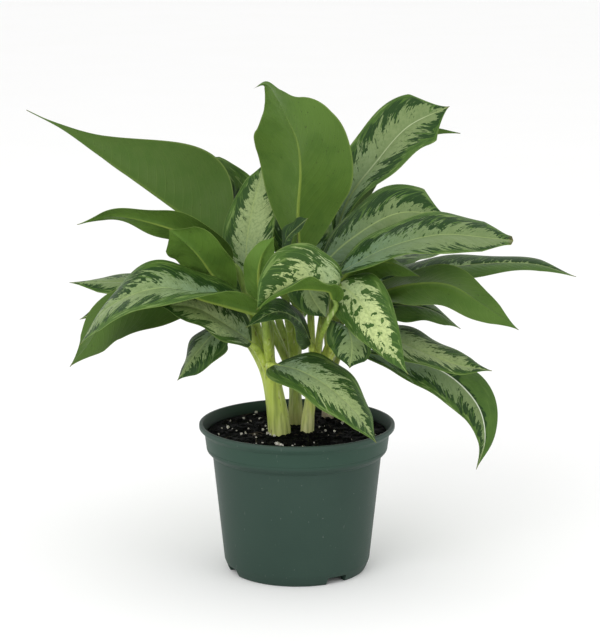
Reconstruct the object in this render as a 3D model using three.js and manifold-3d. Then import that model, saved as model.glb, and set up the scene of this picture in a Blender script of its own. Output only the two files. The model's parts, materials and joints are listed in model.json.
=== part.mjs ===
// A potted Chinese evergreen (Aglaonema): a round grower's pot filled with soil, four leafy
// shoots that stand in plain holes in the soil, and one blade seated on the end of every petiole.
// Millimetres, +Z up, +X to the plant's right, -Y to its front. The pot stands on z = 0 with its
// axis on the Z axis, and the group is then shifted so that its box is centred on the origin.
import * as THREE from 'three';
import { mergeVertices } from 'three/addons/utils/BufferGeometryUtils.js';
import Module from 'manifold-3d';

const wasm = await Module();
wasm.setup();

// ---- Driving dimensions ----
// The clearance that two touching pieces keep.
const GAP = 0.3;

// The pot: a thin moulded shell with a flared lip, a collar, a shoulder and a tapered wall.
const POT = {
  height: 127,
  lipRadius: 83,
  lipDepth: 3.8,
  lipRounding: 0.8,
  collarTopRadius: 78.5,
  collarTopZ: 118.8,
  collarFootRadius: 76.9,
  collarFootZ: 105.6,
  shoulderRadius: 71.7,
  shoulderZ: 100,
  wallFootRadius: 62.2,
  wallFootZ: 9,
  footRadius: 58.4,
  footBevel: 1.6,
  wall: 1.7,
  floorUnderside: 7,
  floorThickness: 2,
  footRingWidth: 5,
  collarFloorRise: 1,
  sides: 48,
};
// The foot is broken by four drain arches, in two opposed pairs, each with a hole in the floor beside it;
// angles run from the front, to the right. proud = how far an arch's cutter reaches out of the wall.
const DRAIN = {
  angles: [34, -66, 214, 114],
  width: 21,
  height: 6.4,
  depth: 16,
  proud: 2,
  holeRadius: 5,
  holeRing: 40,
  holeSides: 12,
};

// The soil fills the pot to just under the lip, heaped a little in the middle.
// lobes = the crumb waves' turns round the pot, pitches = their spacing along a radius.
const SOIL = { edgeZ: 118, heap: 1.6, crumb: 0.9, lobes: [5, 7], pitches: [6, -4.5], rings: 6, sides: 36 };

// The shoots. Petioles sheathe one another in a tight bundle up to the splay, then part.
// foot = place on the soil, radius = the bundle's, splay = height where the petioles part.
const SHOOT_ROOT_Z = 96;
const SHOOTS = {
  front_left: { foot: [-13.5, -9], lean: [-6, 0], radius: 10.8, splay: 168, colour: 0xa6ae5c },
  back: { foot: [-0.5, 24], lean: [-0.5, 4], radius: 7.4, splay: 160, colour: 0x8f9a55 },
  front_right: { foot: [8, -2], lean: [3.5, 2], radius: 6.4, splay: 156, colour: 0xb4b878 },
  right: { foot: [26, 46], lean: [2, 4], radius: 6, splay: 150, colour: 0xa39a80 },
};
// The bundle's radius from its root to its splay, as shares, and its sides.
const BUNDLE = { taper: [1, 1, 1, 0.92, 0.8, 0.65], sides: 10 };
const HOLE = { clearance: 0.4, sides: 16 };

// Petioles. footShare and sideShare = their foot's radius and its place off the bundle's axis, as shares
// of the bundle's radius; approach = the straight run into a blade; taperPower = how late they taper.
const PETIOLE = {
  footShare: 0.55,
  sideShare: 0.45,
  tipRadius: 2.8,
  taperPower: 1.5,
  approach: 9,
  sides: 6,
  steps: 6,
};
// Blades. The rib narrows by ribTaper to the tip; its keel fades by ribFade and is ribSkirt as deep at
// the rib's edges; turnStart and turnLength = the part of a blade over which its spread is given.
const BLADE = {
  thickness: 0.7,
  ribHalfWidth: 1.8,
  ribTaper: 0.75,
  ribDepth: 2.6,
  ribFade: 0.7,
  ribSkirt: 0.25,
  rootHalfWidth: 3,
  tipHalfWidth: 0.6,
  baseRoundness: 0.5,
  tipPoint: 0.85,
  bow: 0.07,
  leastSteps: 4,
  widthPerStep: 15,
  ruffles: 2.5,
  ruffleHeight: 1.6,
  rufflePhase: 1.3,
  sidePhase: 1.7,
  turnStart: 0.15,
  turnLength: 0.7,
};

// The blades. spine = the midrib from the petiole to the tip; left, right = the way each half spreads
// from the midrib, seen from above with the tip ahead, spread evenly over the length; width = the
// widest; base and point shape the outline; tip = the half-width of a blunt tip; rows = its steps, where
// a hooked tip asks for more; stem = the radius of the petiole at the blade; plain = its underside is
// what shows from the front; via = where its petiole is led round its neighbours.
const LEAVES = [
  {
    name: 'left_high',
    shoot: 'back',
    width: 112,
    base: 0.95,
    point: 2.7,
    plain: true,
    spine: [
      [-61, 45, 273],
      [-84, 56, 287],
      [-127, 68, 316],
      [-172, 80, 346],
      [-204, 88, 367],
      [-235, 94, 382],
    ],
    left: [[0.5, 0.2, 0.6], [0.55, 0.1, 0.8], [0.4, 0.2, 0.8]],
    right: [[0.1, 1, -0.3], [0.1, 1, -0.3], [0, 1, -0.3]],
  },
  {
    name: 'left_mid',
    shoot: 'front_left',
    width: 50,
    plain: true,
    spine: [[-56, 14, 262], [-84, 8, 284], [-118, 2, 298], [-153, -4, 305], [-182, -10, 298]],
    left: [[0.4, -0.7, 0.6], [0.3, -0.8, 0.6], [0.2, -0.9, 0.4]],
    right: [[-0.4, 0.8, -0.5], [-0.3, 0.8, -0.5], [-0.2, 0.9, -0.4]],
  },
  {
    name: 'left_young',
    shoot: 'front_left',
    width: 56,
    point: 0.55,
    plain: true,
    spine: [[-58, -4, 240], [-69, -12, 257], [-84, -20, 278], [-105, -26, 297]],
    left: [[0.7, -0.7, 0.2], [0.7, -0.6, 0.4], [0.7, -0.5, 0.5]],
    right: [[-0.5, 0.8, 0], [-0.7, 0.7, -0.3], [-0.7, 0.4, -0.6]],
  },
  {
    name: 'left_arch',
    shoot: 'front_left',
    width: 76,
    spine: [[-32, -36, 229], [-69, -50, 242], [-111, -60, 254], [-153, -62, 238], [-177, -56, 206]],
    left: [[0.4, -0.8, 0.5], [0.2, -0.9, -0.2], [0.2, -0.9, -0.3]],
    right: [[-0.1, 0.9, 0.4], [-0.2, 0.9, 0.5], [0.1, 1, 0.1]],
  },
  {
    name: 'left_silver',
    shoot: 'front_left',
    width: 58,
    base: 0.6,
    spine: [[-38, -32, 203], [-57, -40, 219], [-84, -46, 235], [-113, -50, 238]],
    left: [[0.1, -1, -0.3], [0, -0.9, -0.3], [0, -0.9, -0.4]],
    right: [[0.2, 0.7, 0.6], [0.1, 0.8, 0.5], [0.1, 0.9, 0.5]],
    via: [[-24, -18, 176], [-32, -25, 194]],
  },
  {
    name: 'left_droop',
    shoot: 'front_left',
    width: 60,
    base: 0.8,
    point: 0.75,
    plain: true,
    spine: [
      [-51, -13, 222], [-89, -15, 241], [-129, -17, 235], [-159, -21, 218], [-173, -26, 198],
      [-188, -32, 182],
    ],
    left: [[-0.2, 0.9, 0.5], [-0.3, 0.9, 0.4], [-0.5, 0.8, 0.2]],
    right: [[0.2, -0.7, -0.7], [0.3, -0.7, -0.7], [0.6, -0.8, -0.2]],
  },
  {
    name: 'left_back',
    shoot: 'front_left',
    width: 52,
    point: 0.75,
    spine: [[-55, 64, 221], [-97, 64, 234], [-149, 58, 237], [-196, 50, 238]],
    left: [[0.1, -0.9, -0.4], [0.1, -0.9, -0.4], [0.1, -0.8, -0.5]],
    right: [[-0.1, 1, 0.3], [-0.1, 1, 0.2], [-0.2, 1, 0]],
  },
  {
    name: 'left_dark',
    shoot: 'front_left',
    width: 46,
    point: 0.6,
    spine: [[-52, 34, 210], [-95, 26, 225], [-145, 14, 228], [-183, 4, 215]],
    left: [[0.2, -0.9, -0.3], [0.2, -0.9, -0.3], [0.3, -0.9, -0.3]],
    right: [[-0.1, 0.9, 0.4], [-0.2, 0.9, 0.4], [-0.3, 0.9, 0.3]],
  },
  {
    name: 'left_hanging',
    shoot: 'front_left',
    width: 46,
    spine: [[-48, -14, 203], [-66, -20, 209], [-82, -28, 195], [-99, -38, 172]],
    left: [[0.7, -0.7, -0.3], [0.7, -0.7, -0.3], [0.8, -0.4, -0.4]],
    right: [[-0.5, 0.9, 0], [-0.5, 0.9, 0], [-0.3, 0.9, -0.2]],
  },
  {
    name: 'top_left',
    shoot: 'back',
    width: 48,
    base: 0.4,
    point: 0.7,
    spine: [[-34, 16, 229], [-43, 26, 264], [-38, 38, 304], [-26, 50, 344]],
    left: [[-0.9, 0.5, -0.2], [-0.9, 0.4, 0], [-0.9, 0.4, 0.1]],
    right: [[0.8, -0.5, 0.2], [1, -0.3, 0], [1, -0.1, -0.2]],
  },
  {
    name: 'top_centre',
    shoot: 'back',
    width: 104,
    base: 0.8,
    point: 1.15,
    rows: 18,
    plain: true,
    spine: [
      [3, -8, 266], [1, -18, 308], [3, -32, 346], [0, -46, 372], [-8, -56, 391], [-16, -60, 407],
      [-25, -61, 418.5], [-34, -60, 415],
    ],
    left: [[0.8, 0.6, 0.2], [0.9, 0.5, 0.1], [0.7, 0.7, 0.1], [0.2, 0.9, 0.3]],
    right: [[-0.5, 0.9, 0.2], [-0.7, 0.7, 0.3], [-0.8, 0.6, 0.2], [-0.4, 0.8, -0.4]],
  },
  {
    name: 'top_right',
    shoot: 'right',
    width: 64,
    base: 1,
    point: 0.5,
    spine: [[32, 46, 277], [45, 54, 311], [68, 62, 341], [95, 70, 370], [131, 76, 387]],
    left: [[-0.8, 0, 0.6], [-0.7, 0.5, 0.4], [-0.4, 0.6, 0.6]],
    right: [[0.4, -0.9, 0], [0.5, -0.9, -0.2], [0.4, -0.7, -0.6]],
  },
  {
    name: 'right_back',
    shoot: 'right',
    width: 32,
    plain: true,
    spine: [[32, 64, 267], [48, 76, 304], [76, 90, 342], [111, 100, 364], [143, 106, 360]],
    left: [[0.5, -0.9, -0.1], [0.5, -0.8, -0.3], [0.5, -0.4, -0.8]],
    right: [[-0.1, 1, -0.3], [-0.1, 1, -0.2], [-0.2, 1, 0]],
  },
  {
    name: 'right_high',
    shoot: 'front_right',
    width: 62,
    base: 0.8,
    point: 0.5,
    spine: [[18, 8, 258], [44, 8, 282], [83, 4, 305], [123, 0, 305]],
    left: [[-0.3, 0.8, 0.5], [-0.2, 0.8, 0.6], [0, 0.7, 0.7]],
    right: [[0.4, -0.2, -0.9], [0.5, 0, -0.9], [-0.1, -0.9, -0.5]],
  },
  {
    name: 'right_long',
    shoot: 'front_right',
    width: 62,
    point: 0.5,
    tip: 6.5,
    spine: [[34, -34, 261], [72, -46, 284], [115, -56, 297], [154, -60, 295], [174, -62, 293]],
    left: [[0, 0.8, 0.5], [0.1, 0.9, 0.5], [0.1, 0.9, 0.4]],
    right: [[-0.2, -1, -0.2], [-0.2, -1, -0.3], [-0.1, -0.9, -0.4]],
  },
  {
    name: 'right_edge',
    shoot: 'right',
    width: 46,
    spine: [[45, 20, 237], [92, 26, 249], [147, 26, 258], [201, 22, 259], [236, 18, 249]],
    left: [[-0.1, 1, 0.3], [0, 1, 0.2], [0.1, 1, 0.2]],
    right: [[0.1, -0.9, -0.3], [0, -0.9, -0.3], [-0.1, -0.9, -0.3]],
  },
  {
    name: 'right_olive',
    shoot: 'front_right',
    width: 62,
    point: 1.1,
    plain: true,
    spine: [[54, -20, 234], [93, -30, 249], [125, -40, 251], [150, -46, 237], [181, -50, 217]],
    left: [[-0.3, -0.9, -0.2], [-0.4, -0.8, -0.4], [-0.5, -0.6, -0.6]],
    right: [[0.2, 0.9, 0.3], [0.4, 0.8, 0.4], [0.5, 0.7, 0.5]],
  },
  {
    name: 'right_small',
    shoot: 'front_right',
    width: 42,
    spine: [[58, 2, 222], [87, 2, 228], [114, 4, 223], [138, 4, 207]],
    left: [[-0.1, 1, 0.1]],
    right: [[0, -0.9, -0.5]],
  },
  {
    name: 'front_right',
    shoot: 'front_right',
    width: 49,
    point: 1.1,
    base: 0.35,
    spine: [[34, -46, 255], [46, -62, 248], [63, -80, 227], [76, -90, 208], [89, -94, 190]],
    left: [[0.8, 0.1, 0.4], [0.8, 0, 0.6], [0.7, 0.2, 0.5]],
    right: [[-0.5, 0.3, -0.6], [-0.6, 0.4, -0.4], [-0.7, 0.2, -0.5]],
    via: [[23, -10, 182], [32, -24, 206]],
  },
  {
    name: 'front_centre',
    shoot: 'front_right',
    width: 72,
    point: 1,
    base: 0.7,
    stem: 2.2,
    spine: [
      [31, -63, 246], [28, -66, 253], [16, -70, 256], [1, -76, 257], [-12, -84, 254],
      [-23, -90, 249], [-32, -95, 243],
    ],
    left: [[0, -0.9, 0.28]],
    right: [[0, 0.3, 0.9]],
    via: [[17, -21, 189], [20, -49, 212], [27, -62, 231]],
  },
  {
    name: 'young_fold',
    shoot: 'front_left',
    width: 28,
    plain: true,
    spine: [[-28, -48, 241], [-31, -50, 260], [-28, -52, 279], [-18, -53, 295]],
    left: [[1, 0, -0.1]],
    right: [[-0.9, 0.4, 0.1]],
  },
  {
    name: 'small_dark',
    shoot: 'back',
    width: 26,
    spine: [[-12, -22, 273], [-9, -26, 288], [-1, -32, 298], [9, -40, 308]],
    left: [[-0.1, 0.8, 0.5]],
    right: [[0, -0.9, -0.5]],
  },
  {
    name: 'inner_silver',
    shoot: 'back',
    width: 36,
    base: 0.5,
    spine: [[3, -32, 270], [7, -40, 256], [14, -46, 241], [24, -50, 227]],
    left: [[0.8, 0.3, 0.4]],
    right: [[-0.8, -0.2, -0.4]],
  },
  {
    name: 'inner_dark',
    shoot: 'front_right',
    width: 44,
    spine: [[12, -32, 203], [3, -49, 224], [-16, -67, 236], [-41, -86, 227]],
    left: [[-0.3, -0.6, -0.8], [0.1, -0.9, -0.5], [0.5, -0.9, 0]],
    right: [[-0.2, 0.8, 0.6], [-0.3, 0.9, 0.3], [-0.5, 0.9, -0.1]],
  },
  {
    name: 'front_low',
    shoot: 'front_left',
    width: 66,
    spine: [[-17, -40, 186], [4, -60, 185], [28, -76, 174], [49, -88, 156], [64, -95, 134]],
    left: [[0.6, 0.7, 0.3], [0.6, 0.8, 0.1], [0.5, 0.9, 0]],
    right: [[-0.6, -0.8, -0.1], [-0.6, -0.8, -0.1], [-0.6, -0.8, -0.1]],
  },
  {
    name: 'front_short',
    shoot: 'front_right',
    width: 40,
    point: 0.65,
    spine: [[37, -31, 216], [42, -44, 217], [45, -55, 205], [43, -63, 188]],
    left: [[0.8, 0.2, -0.4]],
    right: [[-0.9, 0.3, 0.3]],
  },
  {
    name: 'right_low',
    shoot: 'front_right',
    width: 58,
    spine: [[46, -10, 205], [73, -20, 205], [102, -32, 196], [130, -42, 187], [160, -50, 183]],
    left: [[0.4, 0.9, 0.2], [0.4, 0.9, 0.2], [0.3, 0.9, 0.3]],
    right: [[-0.4, -0.9, -0.1], [-0.4, -0.9, -0.1], [-0.3, -0.9, -0.2]],
  },
  {
    name: 'right_hanging',
    shoot: 'right',
    width: 52,
    base: 0.9,
    point: 1.3,
    spine: [
      [47, 26, 184], [88, 24, 176], [120, 18, 169], [141, 12, 155], [156, 6, 135], [160, 2, 110],
      [153, 0, 85],
    ],
    left: [[0.1, 1, 0.1], [0.2, 1, 0.1], [0.7, 0.6, 0.4], [0.9, 0.3, 0.1]],
    right: [[-0.1, -0.9, -0.3], [-0.3, -0.8, -0.5], [-0.8, -0.4, -0.5], [-0.8, -0.6, 0]],
  },
  {
    name: 'inner_right',
    shoot: 'front_right',
    width: 27,
    base: 0.8,
    spine: [[42, -20, 216], [46, -26, 226], [53, -30, 225], [58, -34, 212]],
    left: [[0.5, 0.8, 0.1]],
    right: [[-0.6, -0.7, -0.2]],
  },
  {
    name: 'right_inner_high',
    shoot: 'front_right',
    width: 34,
    plain: true,
    spine: [[32, -14, 243], [49, -18, 261], [75, -22, 267], [101, -26, 257]],
    left: [[0, -0.7, -0.7]],
    right: [[0.1, 1, 0.2]],
  },
  {
    name: 'back_left',
    shoot: 'back',
    width: 70,
    spine: [[-34, 70, 252], [-50, 94, 289], [-68, 114, 316], [-88, 130, 339]],
    left: [[-0.3, 0.7, -0.7]],
    right: [[0.5, -0.5, 0.7]],
  },
  {
    name: 'back_high',
    shoot: 'back',
    width: 62,
    spine: [[4, 52, 255], [4, 78, 283], [8, 108, 310], [13, 134, 342]],
    left: [[-0.9, 0.3, -0.2]],
    right: [[0.9, 0.2, -0.3]],
  },
  {
    name: 'back_right',
    shoot: 'right',
    width: 72,
    spine: [[30, 62, 238], [63, 96, 248], [99, 126, 253], [143, 150, 251]],
    left: [[-0.6, 0.8, 0]],
    right: [[0.6, -0.8, -0.1]],
  },
  {
    name: 'back_low_right',
    shoot: 'right',
    width: 62,
    spine: [[34, 66, 209], [66, 98, 213], [100, 128, 205], [130, 150, 188]],
    left: [[-0.6, 0.7, 0.2]],
    right: [[0.6, -0.7, -0.3]],
  },
  {
    name: 'back_low_left',
    shoot: 'back',
    width: 64,
    spine: [[-31, 68, 206], [-61, 100, 214], [-98, 128, 215], [-134, 150, 201]],
    left: [[-0.6, -0.8, -0.1]],
    right: [[0.6, 0.8, 0.2]],
  },
  {
    name: 'back_side_left',
    shoot: 'back',
    width: 56,
    spine: [[-39, 62, 220], [-59, 86, 237], [-81, 110, 252], [-105, 134, 257]],
    left: [[-0.5, -0.8, 0.4]],
    right: [[0.5, 0.8, -0.4]],
  },
  {
    name: 'back_hanging',
    shoot: 'back',
    width: 44,
    spine: [[3, 47, 222], [3, 70, 231], [5, 96, 221], [7, 114, 194]],
    left: [[-0.9, 0.2, -0.1]],
    right: [[0.9, -0.1, -0.2]],
  },
];
const COLOURS = { pot: 0x3f4f47, soil: 0x241f1b, variegated: 0x7f9870, underside: 0x557a3a };
const ROUGHNESS = { pot: 0.55, soil: 0.95, stalk: 0.45, leaf: 0.4 };

// ---- Small helpers ----
const vector = ([x, y, z]) => new THREE.Vector3(x, y, z);

// A closed geometry with only positions and shared vertices, as the solid joins need it.
function welded(geometry) {
  const bare = geometry.clone();
  bare.deleteAttribute('normal');
  bare.deleteAttribute('uv');
  return mergeVertices(bare, 1e-4);
}

function toSolid(geometry) {
  const closed = welded(geometry);
  return new wasm.Manifold(
    new wasm.Mesh({
      numProp: 3,
      vertProperties: closed.attributes.position.array,
      triVerts: new Uint32Array(closed.index.array),
    }),
  );
}

function toGeometry(solid) {
  const mesh = solid.getMesh();
  const geometry = new THREE.BufferGeometry();
  geometry.setAttribute('position', new THREE.BufferAttribute(mesh.vertProperties, 3));
  geometry.setIndex(new THREE.BufferAttribute(mesh.triVerts, 1));
  return geometry;
}

function named(name, geometry, colour, roughness) {
  const shaded = geometry.toNonIndexed();
  shaded.computeVertexNormals();
  const material = new THREE.MeshStandardMaterial({ color: colour, roughness, metalness: 0 });
  const mesh = new THREE.Mesh(shaded, material);
  mesh.name = name;
  return mesh;
}

// A profile of [radius, z] points turned about the Z axis.
function turned(profile, sides) {
  const points = profile.map(([radius, z]) => new THREE.Vector2(radius, z));
  return new THREE.LatheGeometry(points, sides).rotateX(Math.PI / 2);
}

// ---- Pot ----
function potWallRadius(z) {
  const rise = (z - POT.wallFootZ) / (POT.shoulderZ - POT.wallFootZ);
  return THREE.MathUtils.lerp(POT.wallFootRadius, POT.shoulderRadius, rise);
}

function potGeometry() {
  const floorTop = POT.floorUnderside + POT.floorThickness;
  const ringInside = POT.footRadius - POT.footRingWidth;
  const profile = [
    [0, POT.floorUnderside],
    [ringInside, POT.floorUnderside],
    [ringInside, 0],
    [POT.footRadius, 0],
    [POT.footRadius + POT.footBevel, 2 * POT.footBevel],
    [POT.wallFootRadius, POT.wallFootZ],
    [POT.shoulderRadius, POT.shoulderZ],
    [POT.collarFootRadius, POT.collarFootZ],
    [POT.collarTopRadius, POT.collarTopZ],
    [POT.lipRadius, POT.height - POT.lipDepth],
    [POT.lipRadius, POT.height - POT.lipRounding],
    [POT.lipRadius - POT.lipRounding, POT.height],
    [POT.lipRadius - POT.lipRounding - POT.wall, POT.height],
    [POT.collarTopRadius - POT.wall, POT.collarTopZ],
    [POT.collarFootRadius - POT.wall, POT.collarFootZ + POT.collarFloorRise],
    [POT.shoulderRadius - POT.wall, POT.shoulderZ],
    [potWallRadius(floorTop) - 2 * POT.wall, floorTop],
    [0, floorTop],
  ];
  let pot = toSolid(turned(profile, POT.sides));
  for (const fromFront of DRAIN.angles) {
    const angle = THREE.MathUtils.degToRad(fromFront - 90);
    const arch = new THREE.BoxGeometry(DRAIN.depth, DRAIN.width, 2 * DRAIN.height);
    arch.translate(POT.wallFootRadius + DRAIN.proud - DRAIN.depth / 2, 0, 0).rotateZ(angle);
    pot = pot.subtract(toSolid(arch));
    const cutHeight = 3 * POT.floorThickness;
    const hole = new THREE.CylinderGeometry(DRAIN.holeRadius, DRAIN.holeRadius, cutHeight, DRAIN.holeSides);
    hole.rotateX(Math.PI / 2).translate(DRAIN.holeRing, 0, POT.floorUnderside + POT.floorThickness / 2);
    pot = pot.subtract(toSolid(hole.rotateZ(angle)));
  }
  return toGeometry(pot);
}

// ---- Soil ----
// Crumbs: a few crossed waves that die out at the pot wall.
function soilHeight(radius, angle) {
  const reach = radius / (POT.collarTopRadius - POT.wall);
  const [slow, fast] = SOIL.lobes.map((lobes, i) => lobes * angle + radius / SOIL.pitches[i]);
  const crumbs = Math.sin(slow) + Math.cos(fast);
  return SOIL.edgeZ + (SOIL.heap + (SOIL.crumb * crumbs) / 2) * (1 - reach ** 4);
}

function soilGeometry() {
  const floor = POT.floorUnderside + POT.floorThickness + GAP;
  const topRadius = POT.collarTopRadius - POT.wall - GAP;
  const profile = [
    [0, floor],
    [potWallRadius(floor) - 2 * POT.wall - GAP, floor],
    [POT.shoulderRadius - POT.wall - GAP, POT.shoulderZ],
    [POT.collarFootRadius - POT.wall - GAP, POT.collarFootZ + POT.collarFloorRise + GAP],
  ];
  for (let ring = SOIL.rings; ring >= 0; ring -= 1) {
    profile.push([(topRadius * ring) / SOIL.rings, SOIL.edgeZ]);
  }
  const geometry = welded(turned(profile, SOIL.sides));
  const { position } = geometry.attributes;
  for (let i = 0; i < position.count; i += 1) {
    if (position.getZ(i) > SOIL.edgeZ - GAP) {
      const radius = Math.hypot(position.getX(i), position.getY(i));
      position.setZ(i, soilHeight(radius, Math.atan2(position.getY(i), position.getX(i))));
    }
  }
  let soil = toSolid(geometry);
  for (const shoot of Object.values(SHOOTS)) {
    const hole = turned(
      [
        [0, SHOOT_ROOT_Z - GAP],
        [shoot.radius + HOLE.clearance, SHOOT_ROOT_Z - GAP],
        [shoot.radius + HOLE.clearance, POT.height],
        [0, POT.height],
      ],
      HOLE.sides,
    );
    soil = soil.subtract(toSolid(hole.translate(shoot.foot[0], shoot.foot[1], 0)));
  }
  return toGeometry(soil);
}

// ---- Blades ----
// The half-width along a blade, as a share of its widest: round at the base, drawn out at the tip.
function outlineShare(leaf, along) {
  const rise = leaf.base ?? BLADE.baseRoundness;
  const fall = leaf.point ?? BLADE.tipPoint;
  const widest = rise / (rise + fall);
  const share = (t) => t ** rise * (1 - t) ** fall;
  return share(along) / share(widest);
}

// A direction out of a list that is spread evenly over the length, from near the base to near the tip.
function spread(directions, along) {
  const turn = THREE.MathUtils.clamp((along - BLADE.turnStart) / BLADE.turnLength, 0, 1);
  const place = turn * (directions.length - 1);
  const low = Math.min(Math.floor(place), Math.max(directions.length - 2, 0));
  const high = Math.min(low + 1, directions.length - 1);
  return vector(directions[low]).lerp(vector(directions[high]), place - low);
}

// One station of a blade: its place on the midrib, its heading, the way each half spreads from the
// midrib, square to the heading, and the upward normals of the two halves and of the rib.
function station(leaf, curve, along) {
  const place = curve.getPointAt(along);
  const heading = curve.getTangentAt(along);
  const halves = ['left', 'right'].map((side) => {
    const out = spread(leaf[side], along);
    return out.addScaledVector(heading, -out.dot(heading)).normalize();
  });
  const up = [heading.clone().cross(halves[0]), halves[1].clone().cross(heading)];
  const ribUp = up[0].clone().add(up[1]).normalize();
  return { place, heading, halves, up, ribUp };
}

// Lines along a blade: its left edge to its right, with the rib in the middle.
const COLUMNS = [-3, -2, -1, 0, 1, 2, 3];

// A blade: an upper skin across both halves, a lower skin a blade's thickness under it, thicker at
// the rib, and a rim round the edge. Both skins are split into triangles alike.
function bladeGeometry(leaf, order) {
  const curve = new THREE.CatmullRomCurve3(leaf.spine.map(vector), false, 'centripetal');
  const steps = leaf.rows ?? BLADE.leastSteps + Math.round(leaf.width / BLADE.widthPerStep);
  const upper = [];
  const lower = [];
  for (let i = 0; i <= steps; i += 1) {
    const along = i / steps;
    const { place, halves, up, ribUp } = station(leaf, curve, along);
    const rib = BLADE.ribHalfWidth * (1 - BLADE.ribTaper * along);
    const tip = leaf.tip ?? BLADE.tipHalfWidth;
    const least = THREE.MathUtils.lerp(BLADE.rootHalfWidth, tip, along);
    const edge = Math.max((leaf.width / 2) * outlineShare(leaf, along), least);
    const ribDepth = BLADE.ribDepth * (1 - along) ** BLADE.ribFade;
    const outs = [0, rib, (rib + edge) / 2, edge];
    const keel = [ribDepth, ribDepth * BLADE.ribSkirt, 0, 0];
    for (const column of COLUMNS) {
      const side = column < 0 ? 0 : 1;
      const out = outs[Math.abs(column)];
      const share = out / edge;
      const turns = BLADE.ruffles * Math.PI * 2 * along + order * BLADE.rufflePhase;
      const ruffle = BLADE.ruffleHeight * Math.sin(turns + side * BLADE.sidePhase);
      const bow = 4 * BLADE.bow * edge * share * (1 - share);
      const lift = bow + ruffle * share ** 2 * outlineShare(leaf, along);
      const normal = column === 0 ? ribUp : up[side];
      const skin = place.clone().addScaledVector(halves[side], out).addScaledVector(normal, lift);
      const depth = BLADE.thickness + keel[Math.abs(column)];
      upper.push(skin);
      lower.push(skin.clone().addScaledVector(normal, -depth));
    }
  }
  return skinned(upper, lower, steps, COLUMNS.length);
}

// Closes two skins of the same grid into one body.
function skinned(upper, lower, steps, columns) {
  const positions = [...upper, ...lower].flatMap((p) => [p.x, p.y, p.z]);
  const under = upper.length;
  const at = (row, column) => row * columns + column;
  const index = [];
  const quad = (a, b, c, d) => index.push(a, b, c, a, c, d);
  for (let row = 0; row < steps; row += 1) {
    for (let column = 0; column < columns - 1; column += 1) {
      const [a, b] = [at(row, column), at(row, column + 1)];
      const [c, d] = [at(row + 1, column + 1), at(row + 1, column)];
      quad(a, b, c, d);
      index.push(under + a, under + c, under + b, under + a, under + d, under + c);
    }
    const [left, right] = [at(row, 0), at(row, columns - 1)];
    quad(left, left + columns, under + left + columns, under + left);
    quad(right, under + right, under + right + columns, right + columns);
  }
  for (let column = 0; column < columns - 1; column += 1) {
    const [root, tip] = [at(0, column), at(steps, column)];
    quad(root, under + root, under + root + 1, root + 1);
    quad(tip, tip + 1, under + tip + 1, under + tip);
  }
  const geometry = new THREE.BufferGeometry();
  geometry.setAttribute('position', new THREE.Float32BufferAttribute(positions, 3));
  geometry.setIndex(index);
  return geometry;
}

// ---- Shoots ----
// A round stalk along a curve: a turned profile of the given radii, bent onto the curve.
function stalkGeometry(curve, radii, sides) {
  const steps = radii.length - 1;
  const profile = radii.map((radius, i) => [radius, i]);
  const geometry = welded(turned([[0, 0], ...profile, [0, steps]], sides));
  const { normals, binormals } = curve.computeFrenetFrames(steps, false);
  const places = radii.map((_, i) => curve.getPointAt(i / steps));
  const { position } = geometry.attributes;
  for (let i = 0; i < position.count; i += 1) {
    const row = Math.round(position.getZ(i));
    const bent = places[row]
      .clone()
      .addScaledVector(normals[row], position.getX(i))
      .addScaledVector(binormals[row], position.getY(i));
    position.setXYZ(i, bent.x, bent.y, bent.z);
  }
  return geometry;
}

// Places on the bundle's axis: the bottom of its hole, just above the soil, and the splay.
function bundleAxis(shoot) {
  const foot = new THREE.Vector3(...shoot.foot, SHOOT_ROOT_Z);
  const neck = foot.clone().setZ(SOIL.edgeZ + SOIL.heap + 2 * SOIL.crumb);
  const lean = new THREE.Vector3(...shoot.lean, shoot.splay - SHOOT_ROOT_Z);
  return { foot, neck, head: foot.clone().add(lean) };
}

// A petiole's route: up inside the bundle on the side of its blade, then out to the blade's root.
function petioleCurve(leaf, shoot) {
  const curve = new THREE.CatmullRomCurve3(leaf.spine.map(vector), false, 'centripetal');
  const { place, heading, ribUp } = station(leaf, curve, 0);
  const end = place.addScaledVector(ribUp, -BLADE.ribDepth / 2).addScaledVector(heading, -GAP);
  const { neck, head } = bundleAxis(shoot);
  const side = end.clone().sub(head).setZ(0).normalize().multiplyScalar(shoot.radius * PETIOLE.sideShare);
  const approach = end.clone().addScaledVector(heading, -PETIOLE.approach);
  const via = (leaf.via ?? []).map(vector);
  const route = [neck.add(side), head.add(side), ...via, approach, end];
  return new THREE.CatmullRomCurve3(route, false, 'centripetal');
}

// A shoot: a tapered bundle of sheaths, joined with every petiole that leaves it.
function shootGeometry(shootName) {
  const shoot = SHOOTS[shootName];
  const { foot, neck, head } = bundleAxis(shoot);
  const taper = BUNDLE.taper.map((share) => share * shoot.radius);
  const axis = new THREE.CatmullRomCurve3([foot, neck, head], false, 'centripetal');
  let solid = toSolid(stalkGeometry(axis, taper, BUNDLE.sides));
  for (const leaf of LEAVES.filter((entry) => entry.shoot === shootName)) {
    const radii = [];
    for (let i = 0; i <= PETIOLE.steps; i += 1) {
      const along = (i / PETIOLE.steps) ** PETIOLE.taperPower;
      const stem = leaf.stem ?? PETIOLE.tipRadius;
      radii.push(THREE.MathUtils.lerp(shoot.radius * PETIOLE.footShare, stem, along));
    }
    const petiole = stalkGeometry(petioleCurve(leaf, shoot), radii, PETIOLE.sides);
    solid = solid.add(toSolid(petiole));
  }
  return toGeometry(solid);
}

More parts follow.
